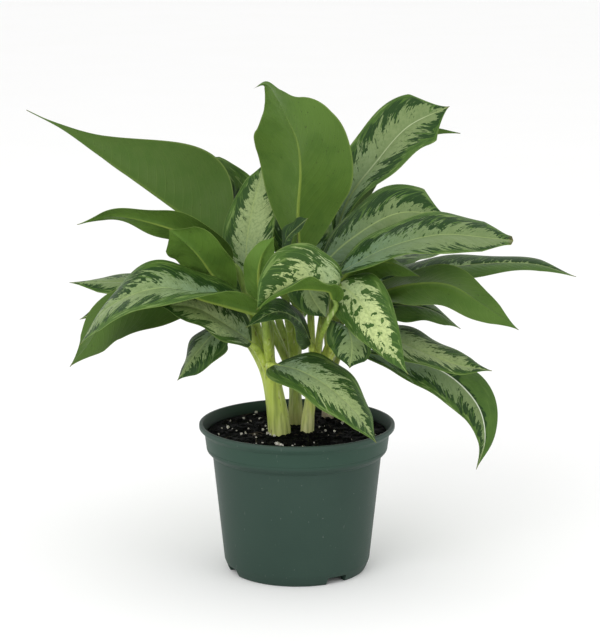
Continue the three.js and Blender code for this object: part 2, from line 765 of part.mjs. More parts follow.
// ---- The plant in its pot ----
const plant = new THREE.Group();
plant.add(named('pot', potGeometry(), COLOURS.pot, ROUGHNESS.pot));
plant.add(named('soil', soilGeometry(), COLOURS.soil, ROUGHNESS.soil));
for (const shootName of Object.keys(SHOOTS)) {
  const { colour } = SHOOTS[shootName];
  plant.add(named(`shoot_${shootName}`, shootGeometry(shootName), colour, ROUGHNESS.stalk));
}
LEAVES.forEach((leaf, order) => {
  const colour = leaf.plain ? COLOURS.underside : COLOURS.variegated;
  plant.add(named(`leaf_${leaf.name}`, bladeGeometry(leaf, order), colour, ROUGHNESS.leaf));
});
const box = new THREE.Box3().setFromObject(plant);
plant.position.set(-(box.min.x + box.max.x) / 2, -(box.min.y + box.max.y) / 2, 0);

export default plant;
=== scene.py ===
import json

import bmesh
import bpy
import numpy as np
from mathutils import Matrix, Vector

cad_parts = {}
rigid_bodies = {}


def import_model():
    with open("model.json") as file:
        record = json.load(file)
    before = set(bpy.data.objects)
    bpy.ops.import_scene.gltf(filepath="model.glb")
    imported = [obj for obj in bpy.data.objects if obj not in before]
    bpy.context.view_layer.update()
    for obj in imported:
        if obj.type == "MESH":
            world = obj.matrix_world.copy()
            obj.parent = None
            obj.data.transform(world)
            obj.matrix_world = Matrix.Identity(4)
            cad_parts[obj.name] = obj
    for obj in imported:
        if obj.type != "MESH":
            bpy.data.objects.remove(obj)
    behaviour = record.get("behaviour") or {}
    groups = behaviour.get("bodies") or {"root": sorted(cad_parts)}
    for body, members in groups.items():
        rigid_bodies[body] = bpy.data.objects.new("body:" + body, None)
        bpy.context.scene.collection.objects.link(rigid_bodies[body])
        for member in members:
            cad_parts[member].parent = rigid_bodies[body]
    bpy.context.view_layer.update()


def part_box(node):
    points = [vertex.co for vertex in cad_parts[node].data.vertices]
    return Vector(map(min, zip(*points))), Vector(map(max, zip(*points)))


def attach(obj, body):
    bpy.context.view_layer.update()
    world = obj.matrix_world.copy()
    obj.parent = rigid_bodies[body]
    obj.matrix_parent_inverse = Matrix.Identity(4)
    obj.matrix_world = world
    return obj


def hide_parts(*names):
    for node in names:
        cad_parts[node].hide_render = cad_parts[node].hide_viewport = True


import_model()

# ---- Pot ----
# A thin grower's pot of dark grey-green polypropylene, moulded in one shot: a flared rounded lip, a
# collar, a stepped shoulder and a tapered wall. Drain arches break its foot ring, and holes its floor.
MM = 0.001
MERGED_WITHIN = 2e-6
pot_low, pot_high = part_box("pot")
AXIS = np.array([(pot_low.x + pot_high.x) / 2, (pot_low.y + pot_high.y) / 2, 0.0])


def placed(points):
    """Millimetres from the pot's axis and foot plane, as metres in the row frame."""
    return np.asarray(points, float) * MM + AXIS


def grid_faces(rows, columns, closed=False):
    """Quads between neighbours of a grid numbered row by row; closed joins its last column to the first."""
    across = columns if closed else columns - 1
    row, column = np.meshgrid(np.arange(rows - 1), np.arange(across), indexing="ij")
    ahead = (column + 1) % columns
    corners = [row * columns + column, row * columns + ahead]
    corners += [(row + 1) * columns + ahead, (row + 1) * columns + column]
    return np.stack(corners, -1).reshape(-1, 4)


def rounded(profile, reach, steps):
    """Each inner corner of a profile becomes a parabola that starts and ends a reach away from it, or a
    third of the side where that is less."""
    corner = profile[1:-1]
    arms = []
    for other in (profile[:-2], profile[2:]):
        arm = other - corner
        arms.append(arm * np.minimum(reach / np.linalg.norm(arm, axis=1), 1 / 3)[:, None])
    u = np.linspace(0, 1, steps)[None, :, None]
    arc = corner[:, None] + (1 - u) ** 2 * arms[0][:, None] + u**2 * arms[1][:, None]
    return np.concatenate([profile[:1], arc.reshape(-1, 2), profile[-1:]])


def turned(profile, sides):
    """A profile of (radius, height) turned about the Z axis: x = r cos a, y = r sin a, z = height."""
    angle = np.arange(sides) * 2 * np.pi / sides
    radius, height = profile[:, :1], profile[:, 1:]
    points = [radius * np.cos(angle), radius * np.sin(angle), height + 0 * angle]
    return np.stack(points, -1).reshape(-1, 3), grid_faces(len(profile), sides, closed=True)


def smooth(mesh, sharp):
    """Shades a mesh smoothly but for the edges that turn more than the sharp angle, in degrees."""
    mesh.shade_smooth()
    mesh.set_sharp_from_angle(angle=np.radians(sharp))


def new_mesh(name, points, faces, sharp=180.0):
    """A mesh from points in metres; points in one place are joined, which closes poles, and edges that
    turn more than the sharp angle are kept crisp."""
    mesh = bpy.data.meshes.new(name)
    mesh.from_pydata(points.tolist(), [], faces.tolist())
    shape = bmesh.new()
    shape.from_mesh(mesh)
    bmesh.ops.remove_doubles(shape, verts=shape.verts, dist=MERGED_WITHIN)
    shape.to_mesh(mesh)
    shape.free()
    smooth(mesh, sharp)
    return mesh


def add_object(name, held):
    """An object at the origin, unturned, that holds a mesh, a light or a camera."""
    thing = bpy.data.objects.new(name, held)
    bpy.context.scene.collection.objects.link(thing)
    return thing


def add_piece(name, mesh, materials, replaced=()):
    """A piece of the plant: it rides on the one body, takes the materials it is given, and stands for the
    CAD nodes that it replaces."""
    piece = add_object(name, mesh)
    for material in materials:
        mesh.materials.append(material)
    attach(piece, "root")
    if replaced:
        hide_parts(*replaced)


def joined(name, mesh, others, operation, sharp):
    """The mesh joined with the other meshes, or cut by them, as one closed mesh."""
    body = add_object(name, mesh)
    group = bpy.data.collections.new(name)
    for other in others:
        group.objects.link(bpy.data.objects.new(name, other))
    bpy.context.scene.collection.children.link(group)
    step = body.modifiers.new(name, "BOOLEAN")
    step.operation, step.solver = operation, "EXACT"
    step.operand_type, step.collection = "COLLECTION", group
    seen = body.evaluated_get(bpy.context.evaluated_depsgraph_get())
    result = bpy.data.meshes.new_from_object(seen)
    for thing in [body, *group.objects]:
        bpy.data.objects.remove(thing)
    bpy.data.collections.remove(group)
    result.name = name
    smooth(result, sharp)
    return result


class Field:
    """A value that varies over a surface: one output of a shader node. Arithmetic on it adds Math nodes."""

    def __init__(self, tree, output):
        self.tree, self.output = tree, output

    def __add__(self, other):
        return calc("ADD", self, other)

    def __sub__(self, other):
        return calc("SUBTRACT", self, other)

    def __rsub__(self, other):
        return calc("SUBTRACT", other, self)

    def __mul__(self, other):
        return calc("MULTIPLY", self, other)

    def __truediv__(self, other):
        return calc("DIVIDE", self, other)

    def __abs__(self):
        return calc("ABSOLUTE", self)


def put(tree, kind, feeds=None, **settings):
    """A node of that kind with its settings; feeds gives each input a value or a field."""
    node = tree.nodes.new("ShaderNode" + kind)
    for key, value in settings.items():
        setattr(node, key, value)
    for key, value in (feeds or {}).items():
        if isinstance(value, Field):
            tree.links.new(value.output, node.inputs[key])
        else:
            node.inputs[key].default_value = value
    return node


def made(kind, feeds, output=0, **settings):
    """An output of a new node, as a field, in the tree of the fields that feed it."""
    tree = next(value.tree for value in feeds.values() if isinstance(value, Field))
    return Field(tree, put(tree, kind, feeds, **settings).outputs[output])


def calc(operation, *values):
    """One step of arithmetic on numbers or fields."""
    return made("Math", dict(enumerate(values)), operation=operation)


def larger(first, second):
    """The larger of two fields."""
    return calc("MAXIMUM", first, second)


def ramped(value, low, high):
    """0 where the value is low, 1 where it is high, and a smooth step between."""
    feeds = {"Value": value, "From Min": low, "From Max": high}
    return made("MapRange", feeds, interpolation_type="SMOOTHSTEP")


def noise(place, scale, detail):
    """Cloudy noise between 0 and 1 at a place."""
    return made("TexNoise", {"Vector": place, "Scale": scale, "Detail": detail})


def stretched(place, scale):
    """A place with each of its axes scaled on its own."""
    return made("VectorMath", {0: place, 1: scale}, operation="MULTIPLY")


def colour(red, green, blue):
    """A screen colour, 0 to 255 a channel, as the shader's linear values."""
    share = np.array([red, green, blue]) / 255
    linear = np.where(share > 0.04045, ((share + 0.055) / 1.055) ** 2.4, share / 12.92)
    return (*linear.tolist(), 1.0)


def mixed(share, low, high):
    """The low colour where the share is 0 and the high colour where it is 1; each is a field or a screen
    colour."""
    low, high = (end if isinstance(end, Field) else colour(*end) for end in (low, high))
    return made("Mix", {0: share, 6: low, 7: high}, 2, data_type="RGBA")


def tinted(base, mask, most, tint):
    """The base with a tint over it, which takes up the most of it where the mask is 1."""
    return mixed(mask * most, base, tint)


def new_material(name, roughness, specular):
    """A material with its roughness and specular level, and its node tree."""
    material = bpy.data.materials.new(name)
    material.use_nodes = True
    inputs = material.node_tree.nodes["Principled BSDF"].inputs
    inputs["Roughness"].default_value = roughness
    inputs["Specular IOR Level"].default_value = specular
    return material, material.node_tree


def object_place(tree):
    """The place on the surface in the piece's own metres."""
    return Field(tree, put(tree, "TexCoord").outputs["Object"])


def finished(material, base, roughness=None, height=None, relief=0.0):
    """The material, its shader fed with a base colour, a roughness, and a bump whose whole height is the
    relief in metres."""
    tree = material.node_tree
    shader = tree.nodes["Principled BSDF"]
    tree.links.new(base.output, shader.inputs["Base Color"])
    if roughness:
        tree.links.new(roughness.output, shader.inputs["Roughness"])
    if height:
        bump = put(tree, "Bump", {"Height": height, "Distance": relief, "Strength": 1.0})
        tree.links.new(bump.outputs["Normal"], shader.inputs["Normal"])
    return material


POT_SIDES, CORNER_REACH, CORNER_STEPS, POT_CRISP = 192, 0.9, 5, 38
LIP, COLLAR_TOP, COLLAR_FOOT = np.array([(83.0, 127.0), (78.5, 118.8), (76.9, 105.6)])
SHOULDER, WALL_FOOT = np.array([(71.7, 100.0), (62.2, 9.0)])
FOOT_RADIUS, FOOT_RING, WALL, FLOOR_LOW, FLOOR_TOP = 58.4, 5.0, 1.7, 7.0, 9.0
SEAM_DEPTH, SEAM_DROP = 0.35, 1.5
DRAIN_ANGLES = [34, -66, 214, 114]
DRAIN_WIDTH, DRAIN_HEIGHT, DRAIN_DEPTH, DRAIN_PROUD, DRAIN_TAPER = 21.0, 6.4, 16.0, 2.0, 0.86
HOLE_RADIUS, HOLE_RING, HOLE_SIDES = 5.0, 40.0, 24

pot_profile = np.array([
    (0, FLOOR_LOW),
    (FOOT_RADIUS - FOOT_RING, FLOOR_LOW),
    (FOOT_RADIUS - FOOT_RING, 0),
    (FOOT_RADIUS, 0),
    (FOOT_RADIUS + 1.6, 3.2),
    WALL_FOOT,
    SHOULDER,
    SHOULDER + (1.2, 0.4),
    COLLAR_FOOT - (0.6, 1.6),
    COLLAR_FOOT,
    COLLAR_FOOT + (0.1, SEAM_DROP),
    COLLAR_FOOT + (0.15 - SEAM_DEPTH, SEAM_DROP + 0.3),
    COLLAR_FOOT + (0.25, SEAM_DROP + 0.8),
    COLLAR_TOP,
    LIP - (0.7, 4.6),
    LIP - (0, 3.6),
    LIP - (0, 0.8),
    LIP - (0.8, 0),
    LIP - (2.4, 0),
    LIP - (3.2, 1),
    COLLAR_TOP - (WALL, 0),
    COLLAR_FOOT + (-WALL, 1),
    SHOULDER - (WALL, 0),
    (WALL_FOOT[0] - 2 * WALL, FLOOR_TOP),
    (0, FLOOR_TOP),
])


def drain_cutters():
    """For each drain, a box across the foot ring and a cylinder through the floor, turned to its angle."""
    reach = WALL_FOOT[0] + DRAIN_PROUD
    square = np.array([(-1, -1), (1, -1), (1, 1), (-1, 1)])
    along = np.where(square[:, 0] < 0, reach - DRAIN_DEPTH, reach) * np.ones((2, 1))
    across = square[:, 1] * DRAIN_WIDTH / 2 * np.array([[1], [DRAIN_TAPER]])
    up = np.array([[-DRAIN_HEIGHT], [DRAIN_HEIGHT]]) * np.ones(4)
    box = np.stack([along, across, up], -1).reshape(-1, 3)
    sides = np.array([[3, 2, 1, 0], [4, 5, 6, 7], [0, 1, 5, 4], [1, 2, 6, 5], [2, 3, 7, 6], [3, 0, 4, 7]])
    rod = np.array([(0, 0), (HOLE_RADIUS, 0), (HOLE_RADIUS, 2 * FLOOR_TOP), (0, 2 * FLOOR_TOP)])
    round_points, round_faces = turned(rod, HOLE_SIDES)
    shapes = []
    for from_front in DRAIN_ANGLES:
        angle = np.radians(from_front - 90)
        turn = np.array([[np.cos(angle), np.sin(angle), 0], [-np.sin(angle), np.cos(angle), 0], [0, 0, 1]])
        hole = (round_points + [HOLE_RING, 0, 0]) @ turn
        shapes.append(new_mesh("drain_arch", placed(box @ turn), sides))
        shapes.append(new_mesh("drain_hole", placed(hole), round_faces))
    return shapes


PLASTIC_DARK, PLASTIC_LIGHT, COLLAR_GREEN, LIP_GREY = (42, 61, 53), (52, 71, 62), (48, 76, 62), (64, 76, 71)
# The first colour below is painted shade for the wall inside the lip; the second is the grey of scuffs.
LIP_SHADE_GREEN, SCUFF_GREY = (8, 16, 13), (120, 128, 120)
COLLAR_STARTS, LIP_STARTS, LIP_SHADE_STARTS = (0.104, 0.108), (0.1225, 0.1265), (0.112, 0.116)
LIP_INSIDE, INSIDE_TAPER, OUTSIDE_STARTS = (0.0802, 0.0788), 0.33, (0.0374, 0.0382)


def pot_plastic():
    """Satin plastic: a clouded base colour, a collar that is thicker and reads a little greener than the
    wall under it, fine turning lines, faint soil dust and a few pale scuffs, over a very fine grain.
    Inside the lip the wall is darkened with painted shade; it tapers there by a third of its height."""
    material, tree = new_material("pot_plastic", 0.5, 0.15)
    place = object_place(tree)
    height = made("SeparateXYZ", {0: place}, "Z")
    centred = made("VectorMath", {0: place, 1: tuple(AXIS)}, operation="SUBTRACT")
    reach = made("VectorMath", {0: stretched(centred, (1, 1, 0))}, "Value", operation="LENGTH")
    clouds = noise(place, 18, 3)
    body = mixed(clouds, PLASTIC_DARK, PLASTIC_LIGHT)
    body = tinted(body, ramped(height, *COLLAR_STARTS), 0.45, COLLAR_GREEN)
    body = tinted(body, ramped(height, *LIP_STARTS), 0.5, LIP_GREY)
    # Painted shade: inside the lip the wall is darkened toward a deep green.
    inside = ramped(reach, *LIP_INSIDE) * ramped(height, *LIP_SHADE_STARTS)
    outside = ramped(reach - height * INSIDE_TAPER, *OUTSIDE_STARTS)
    body = tinted(body, inside * (1 - outside), 0.75, LIP_SHADE_GREEN)
    dust = ramped(noise(place, 260, 2), 0.71, 0.76)
    scuff = ramped(noise(stretched(place, (500, 500, 90)), 1, 1), 0.74, 0.8)
    body = mixed(larger(dust * 0.3, scuff * 0.25), body, SCUFF_GREY)
    turning_lines, grain = noise(stretched(place, (12, 12, 900)), 1, 2), noise(place, 2200, 2)
    return finished(material, body, clouds * 0.16 + 0.4 + dust * 0.2, turning_lines + grain * 0.5, 0.00008)


pot_points, pot_faces = turned(rounded(pot_profile, CORNER_REACH, CORNER_STEPS), POT_SIDES)
pot_body = new_mesh("pot_shell", placed(pot_points), pot_faces)
pot_body = joined("pot_shell", pot_body, drain_cutters(), "DIFFERENCE", POT_CRISP)
add_piece("pot_shell", pot_body, [pot_plastic()], ["pot"])

# ---- Potting mix ----
# Moist dark peat that fills the pot to just under the lip and heaps a little round the shoots. It is
# loose crumbs and clods of all sizes, pressed by hand when the plant was potted.
GAP = 0.3
SOIL_RADIUS, SOIL_EDGE, SOIL_HEAP, SOIL_SETTLED, EDGE_FALL = 76.5, 118.0, 1.6, 0.5, 0.55
SOIL_RINGS, SOIL_SIDES = 120, 400
CLODS, CLOD_LEAST, CLOD_MORE, CLOD_RISE, CLOD_SUNK, CLODS_AT_ONCE = 2600, 0.6, 2.8, 0.9, 0.35, 100
SHOOT_FEET = {"front_left": (-13.5, -9), "back": (-0.5, 24), "front_right": (8, -2), "right": (26, 46)}
PEAT_DARK, PEAT_LIGHT, GLINT = (2, 3, 3), (9, 10, 10), (150, 140, 120)
chance = np.random.default_rng(7)


def strewn(count, limit):
    """Random places spread evenly over a disc: the reach is the limit × the square root of chance."""
    reach = limit * np.sqrt(chance.random(count))
    angle = chance.random(count) * 2 * np.pi
    return np.stack([reach * np.cos(angle), reach * np.sin(angle)], -1)


clod_places = strewn(CLODS, SOIL_RADIUS)
clod_sizes = CLOD_LEAST + CLOD_MORE * chance.random(CLODS) ** 3


def soil_height(places):
    """The heap falls off with the fourth power of the reach; the highest clod at a place adds a dome,
    the square root of its radius squared less the distance squared, and sinks it by part of its size."""
    reach = np.minimum(np.linalg.norm(places, axis=1) / SOIL_RADIUS, 1)
    lumps = np.zeros(len(places))
    for start in range(0, CLODS, CLODS_AT_ONCE):
        away = places[:, None] - clod_places[None, start : start + CLODS_AT_ONCE]
        size = clod_sizes[None, start : start + CLODS_AT_ONCE]
        dome = np.sqrt(np.maximum(size**2 - (away**2).sum(-1), 0))
        lumps = np.maximum(lumps, (dome * CLOD_RISE - size * CLOD_SUNK).max(axis=1))
    return SOIL_EDGE + (SOIL_HEAP + lumps) * (1 - EDGE_FALL * reach**4) - SOIL_SETTLED


def peat(name, low, high, glints):
    """Dark crumbs: brown and black clouds, with bright mineral and fibre glints, over a rough relief."""
    material, tree = new_material(name, 0.85, 0.05)
    place = object_place(tree)
    body = mixed(ramped(noise(place, 240, 4), 0.3, 0.75), low, high)
    body = tinted(body, ramped(noise(place, 1500, 1), 0.73, 0.78), glints, GLINT)
    damp = ramped(noise(place, 90, 2), 0.35, 0.65)
    return finished(material, body, damp * -0.35 + 0.92, noise(place, 900, 4), 0.0009)


def soil_body():
    """The top is rings of points lifted to the soil's height; the side and bottom follow the pot's inside."""
    rings = np.linspace(0, SOIL_RADIUS - GAP, SOIL_RINGS)
    side = np.array([
        COLLAR_FOOT + (-WALL - GAP, 1 + GAP),
        SHOULDER - (WALL + GAP, 0),
        (WALL_FOOT[0] - 2 * WALL - GAP, FLOOR_TOP + GAP),
        (0, FLOOR_TOP + GAP),
    ])
    profile = np.concatenate([np.stack([rings, 0 * rings + SOIL_EDGE], -1), side])[::-1]
    points, faces = turned(profile, SOIL_SIDES)
    upper = points[:, 2] >= SOIL_EDGE
    points[upper, 2] = soil_height(points[upper, :2])
    return new_mesh("potting_mix", placed(points), faces)


add_piece("potting_mix", soil_body(), [peat("peat", PEAT_DARK, PEAT_LIGHT, 0.15)], ["soil"])

# ---- Perlite and bark in the mix ----
# White grains of expanded volcanic glass, and small brown chips of bark and peat fibre, that came up
# when the mix was watered. They lie loose on the soil.
LITTER_REACH, CLEAR_OF_SHOOTS, RESTS_AT, PEBBLE_CRISP = 72.0, 12, 0.45, 40
# The grains that show best: the place of each on the soil, and its radius before it is pressed in.
PERLITE_SEEN = np.array([
    (-24, -12, 2.0), (-19, -19, 1.8), (-16, -47, 2.6), (-44, -9, 1.5), (-59, 8, 1.7), (-66, -14, 1.4),
    (-32, 39, 1.7), (-46, 42, 1.5), (-36, 60, 1.5), (-32, 11, 1.3), (-29, 1, 1.4), (-40, 31, 1.4),
    (39, 21, 1.8), (60, 38, 1.8), (19, 8, 1.3), (-13, -50, 2.0), (-22, -15, 1.4), (-47, -13, 1.2),
])
PERLITE_PRESSED, PERLITE_MORE, GRAIN_LEAST, GRAIN_MORE = 0.85, 60, 0.35, 0.7
CHALK_WHITE, SOIL_STAIN = (214, 211, 200), (120, 113, 100)
BARK_CHIPS, CHIP_LEAST, CHIP_MORE = 170, 0.8, 1.9
BARK_DARK, BARK_LIGHT = (5, 6, 6), (21, 20, 18)
FIBRES, FIBRE_REACH, FIBRE_SEEN = 18, 66.0, (-44, 56)
FIBRE_LEAST, FIBRE_MORE, FIBRE_RADIUS, FIBRE_LIFT, FIBRE_STEPS, FIBRE_SIDES = 5, 9, 0.28, 0.35, 9, 6
FIBRE_DARK, FIBRE_LIGHT = (48, 44, 36), (88, 80, 66)


def pebbles(name, places, sizes, stretch, rough, rings, sides):
    """Copies of one ball of few sides, each squeezed and dented at random and turned to lie on the soil:
    point = place + size × turn × (ball point × stretch × (1 + dent)). The pole's points share a dent."""
    angle = np.linspace(-np.pi / 2, np.pi / 2, rings)
    ball, faces = turned(np.stack([np.cos(angle), np.sin(angle)], -1), sides)
    count = len(places)
    dents = 1 + rough * (chance.random((count, len(ball), 1)) - 0.5)
    dents[:, :sides], dents[:, -sides:] = dents[:, :1], dents[:, -1:]
    squeeze = 1 + stretch * (chance.random((count, 1, 3)) - 0.5) * 2
    spin = chance.random(count) * 2 * np.pi
    turn = np.zeros((count, 3, 3))
    turn[:, 0, 0], turn[:, 0, 1] = np.cos(spin), np.sin(spin)
    turn[:, 1, 0], turn[:, 1, 1] = -np.sin(spin), np.cos(spin)
    turn[:, 2, 2] = 1
    bodies = (ball * dents * squeeze * sizes[:, None, None]) @ turn
    rest = np.column_stack([places, soil_height(places) + sizes * RESTS_AT])
    points = (bodies + rest[:, None]).reshape(-1, 3)
    numbered = (faces[None] + (np.arange(count) * len(ball))[:, None, None]).reshape(-1, 4)
    return new_mesh(name, placed(points), numbered, PEBBLE_CRISP)


def scattered(count, limit):
    """Places strewn on the soil, clear of the shoots."""
    places = strewn(3 * count, limit)
    away = np.linalg.norm(places[:, None] - np.array(list(SHOOT_FEET.values())), axis=2)
    return places[away.min(axis=1) > CLEAR_OF_SHOOTS][:count]


def perlite():
    """Chalky white, with grey pores and soil stains."""
    material, tree = new_material("perlite", 0.9, 0.2)
    place = object_place(tree)
    body = mixed(ramped(noise(place, 420, 3), 0.42, 0.68), CHALK_WHITE, SOIL_STAIN)
    return finished(material, body, height=noise(place, 2400, 3), relief=0.0003)


more = scattered(PERLITE_MORE, LITTER_REACH)
grain_places = np.concatenate([PERLITE_SEEN[:, :2], more])
more_sizes = GRAIN_LEAST + GRAIN_MORE * chance.random(len(more)) ** 2
grain_sizes = np.concatenate([PERLITE_SEEN[:, 2] * PERLITE_PRESSED, more_sizes])
grain_mesh = pebbles("perlite_grains", grain_places, grain_sizes, stretch=0.35, rough=0.55, rings=6, sides=8)
add_piece("perlite_grains", grain_mesh, [perlite()])

chip_places = scattered(BARK_CHIPS, LITTER_REACH)
chip_sizes = CHIP_LEAST + CHIP_MORE * chance.random(len(chip_places)) ** 2
chip_mesh = pebbles("bark_chips", chip_places, chip_sizes, stretch=0.6, rough=0.4, rings=4, sides=5)
add_piece("bark_chips", chip_mesh, [peat("bark", BARK_DARK, BARK_LIGHT, 0.1)])


def unit(vectors):
    """Each vector over its length."""
    return vectors / np.linalg.norm(vectors, axis=-1, keepdims=True)


def swept(path, radii, sides, lean, shape=None):
    """A round section carried along a path and closed at both ends: point = path + r (n cos a + b sin a),
    where n is the lean made square to the heading and b is square to both; shape scales r by angle."""
    heading = unit(np.gradient(path, axis=0))
    across = unit(lean - (heading @ lean)[:, None] * heading)
    upward = np.cross(heading, across)
    path, across, upward = (np.concatenate([row[:1], row, row[-1:]]) for row in (path, across, upward))
    radii = np.concatenate([[0], radii, [0]])[:, None]
    angle = np.arange(sides) * 2 * np.pi / sides
    if shape is not None:
        radii = radii * shape(angle)
    cos, sin = radii * np.cos(angle), radii * np.sin(angle)
    points = path[:, None] + cos[..., None] * across[:, None] + sin[..., None] * upward[:, None]
    return points.reshape(-1, 3), grid_faces(len(path), sides, closed=True)


def fibre_mesh():
    """Thin bent strands of peat fibre and twig, each a swept tube laid just over the soil."""
    points, faces, count = [], [], 0
    u = np.linspace(-0.5, 0.5, FIBRE_STEPS)
    girth = FIBRE_RADIUS * np.sqrt(1.2 - (2 * u) ** 2)
    for spot in np.concatenate([[FIBRE_SEEN], scattered(FIBRES, FIBRE_REACH)]):
        turn = chance.random() * np.pi
        length = FIBRE_LEAST + FIBRE_MORE * chance.random()
        flat = spot + length * np.stack([u * np.cos(turn), u * np.sin(turn)], -1)
        flat = flat + (u**2)[:, None] * length * (chance.random(2) - 0.5)
        path = np.column_stack([flat, soil_height(flat) + FIBRE_LIFT])
        strand, strips = swept(path, girth, FIBRE_SIDES, np.array([0, 0, 1.0]))
        points.append(strand)
        faces.append(strips + count)
        count += len(strand)
    return new_mesh("peat_fibres", placed(np.concatenate(points)), np.concatenate(faces))


add_piece("peat_fibres", fibre_mesh(), [peat("fibre", FIBRE_DARK, FIBRE_LIGHT, 0.1)])

# ---- Leafy shoots ----
# Four shoots stand in the mix. Each is a tight bundle of petioles whose sheaths wrap one another at the
# soil and part above it; every petiole grows into the midrib of one blade. They are cream at the foot.
SHOOT_ROOT, SHOOT_NECK, SHOOT_CRISP = 96.0, 121.4, 42
# For each shoot, how far its bundle leans, its radius, the height at which its petioles part, and its
# colour at the foot and above it.
SHOOTS = {
    "front_left": ((-6, 0), 10.8, 168, (190, 198, 120), (176, 194, 80)),
    "back": ((-0.5, 4), 7.4, 160, (170, 172, 104), (150, 168, 76)),
    "front_right": ((3.5, 2), 6.4, 156, (206, 208, 144), (186, 200, 90)),
    "right": ((2, 4), 6, 150, (190, 174, 152), (150, 164, 84)),
}
PETIOLE_GREEN, FURROW_GREEN = (118, 145, 60), (76, 96, 36)
CREAM_ENDS, GREEN_STARTS, FADE_WANDER = (0.12, 0.15), (0.17, 0.24), 0.03
SHEATH_PAPER, NICK_BROWN = (214, 216, 170), (96, 72, 44)
CURVE_STEPS, SPREAD_FROM, SPREAD_SPAN, SPREAD_WINDOW = 60, 0.15, 0.7, 0.16
CORE_STEPS, CORE_SIDES, CORE_GIRTH = 24, 28, (0.8, 0.76, 0.5)
PETIOLE_STEPS, PETIOLE_SIDES, PETIOLE_GIRTH, PETIOLE_REACH = 56, 22, 0.5, 0.52
THINS_FROM, THINS_OVER, THINS_FAST, ENDS_FROM = 0.12, 0.85, 0.19, 0.94
ROOT_SUNK, INSIDE_SUNK, APPROACH = 1.5, 1.3, 7
CHANNEL_DEPTH, CHANNEL_WIDTH = 0.2, 0.5


LEAVES = {}


def blade(name, shoot, width, spine, left, right, **own):
    """Adds a blade to the leaves, with the usual value of what it doesn't give itself."""
    usual = dict(base=0.5, point=0.85, tip=0.35, draw=1.35, stem=3.0, via=())
    usual.update(bands=(0.55, 0.55), cream=0.1, outer=1, gleam=0, shade=0)
    given = dict(shoot=shoot, width=width, spine=spine, left=left, right=right)
    LEAVES[name] = {**usual, **given, **own}


# For each blade, its shoot and its greatest width; its spine, which is the midrib from the petiole
# to the tip; and the way its left and then its right half spreads from the spine, root to tip, seen from
# above with the tip ahead. base, point = how full the outline is at either end; tip = the least
# half-width at the tip; draw = how far the point is drawn out; bands = the share of each half at which
# its dark margin begins; cream = how pale the middle is; shade = how much painted shade dulls the
# silver; outer = how much of the dark turns mid-green outward; gleam = the painted shine along the
# rib; stem = the petiole's radius at the blade; via = where the petiole is led round its neighbours.
blade(
    "left_high", "back", 112,
    [(-61, 45, 273), (-84, 56, 287), (-127, 68, 316), (-172, 80, 346), (-204, 88, 367), (-235, 94, 382)],
    [(5, 2, 6), (5.5, 1, 8), (4, 2, 8)], [(1, 10, -3), (1, 10, -3), (0, 10, -3)], base=0.95, point=2.7,
)
blade(
    "left_mid", "front_left", 50,
    [(-56, 14, 262), (-84, 8, 284), (-118, 2, 298), (-153, -4, 305), (-182, -10, 298)],
    [(4, -7, 6), (3, -8, 6), (2, -9, 4)], [(-4, 8, -5), (-3, 8, -5), (-2, 9, -4)],
)
blade(
    "left_young", "front_left", 56, [(-58, -4, 240), (-69, -12, 257), (-84, -20, 278), (-105, -26, 297)],
    [(7, -7, 2), (7, -6, 4), (7, -5, 5)], [(-5, 8, 0), (-7, 7, -3), (-7, 4, -6)], point=0.55,
)
blade(
    "left_arch", "front_left", 76,
    [(-32, -36, 229), (-69, -50, 242), (-111, -60, 254), (-153, -62, 238), (-177, -56, 206)],
    [(4, -8, 5), (2, -9, -2), (2, -9, -3)], [(-1, 9, 4), (-2, 9, 5), (1, 10, 1)], bands=(0.56, 0.4),
)
# This blade's cream is partly its pale middle and partly painted light that brightens it where it lies in
# shade.
blade(
    "left_silver", "front_left", 58, [(-38, -32, 203), (-57, -40, 219), (-84, -46, 235), (-113, -50, 238)],
    [(1, -10, -3), (0, -9, -3), (0, -9, -4)], [(2, 7, 6), (1, 8, 5), (1, 9, 5)], base=0.6, bands=(0.8, 0.5),
    cream=0.6, outer=0.3, via=[(-24, -18, 176), (-32, -25, 194)],
)
blade(
    "left_droop", "front_left", 60, [(-51, -13, 222), (-89, -15, 241), (-129, -17, 235), (-159, -21, 218),
     (-173, -26, 198), (-188, -32, 182)], [(-2, 9, 5), (-3, 9, 4), (-5, 8, 2)],
    [(2, -7, -7), (3, -7, -7), (6, -8, -2)], base=0.8, point=0.75,
)
blade(
    "left_back", "front_left", 52, [(-55, 64, 221), (-97, 64, 234), (-149, 58, 237), (-196, 50, 238)],
    [(1, -9, -4), (1, -9, -4), (1, -8, -5)], [(-1, 10, 3), (-1, 10, 2), (-2, 10, 0)], point=0.75,
    bands=(0.5, 0.5), cream=0.05,
)
blade(
    "left_dark", "front_left", 46, [(-52, 34, 210), (-95, 26, 225), (-145, 14, 228), (-183, 4, 215)],
    [(2, -9, -3), (2, -9, -3), (3, -9, -3)], [(-1, 9, 4), (-2, 9, 4), (-3, 9, 3)], point=0.6,
    bands=(0.5, 0.5), cream=0.05, outer=0.4,
)
blade(
    "left_hanging", "front_left", 46, [(-48, -14, 203), (-66, -20, 209), (-82, -28, 195), (-99, -38, 172)],
    [(7, -7, -3), (7, -7, -3), (8, -4, -4)], [(-5, 9, 0), (-5, 9, 0), (-3, 9, -2)], bands=(0.42, 0.46),
    cream=0.05, outer=0.3,
)
blade(
    "top_left", "back", 48, [(-34, 16, 229), (-43, 26, 264), (-38, 38, 304), (-26, 50, 344)],
    [(-9, 5, -2), (-9, 4, 0), (-9, 4, 1)], [(8, -5, 2), (10, -3, 0), (10, -1, -2)], base=0.4, point=0.7,
    bands=(0.46, 0.82), cream=0.42,
)
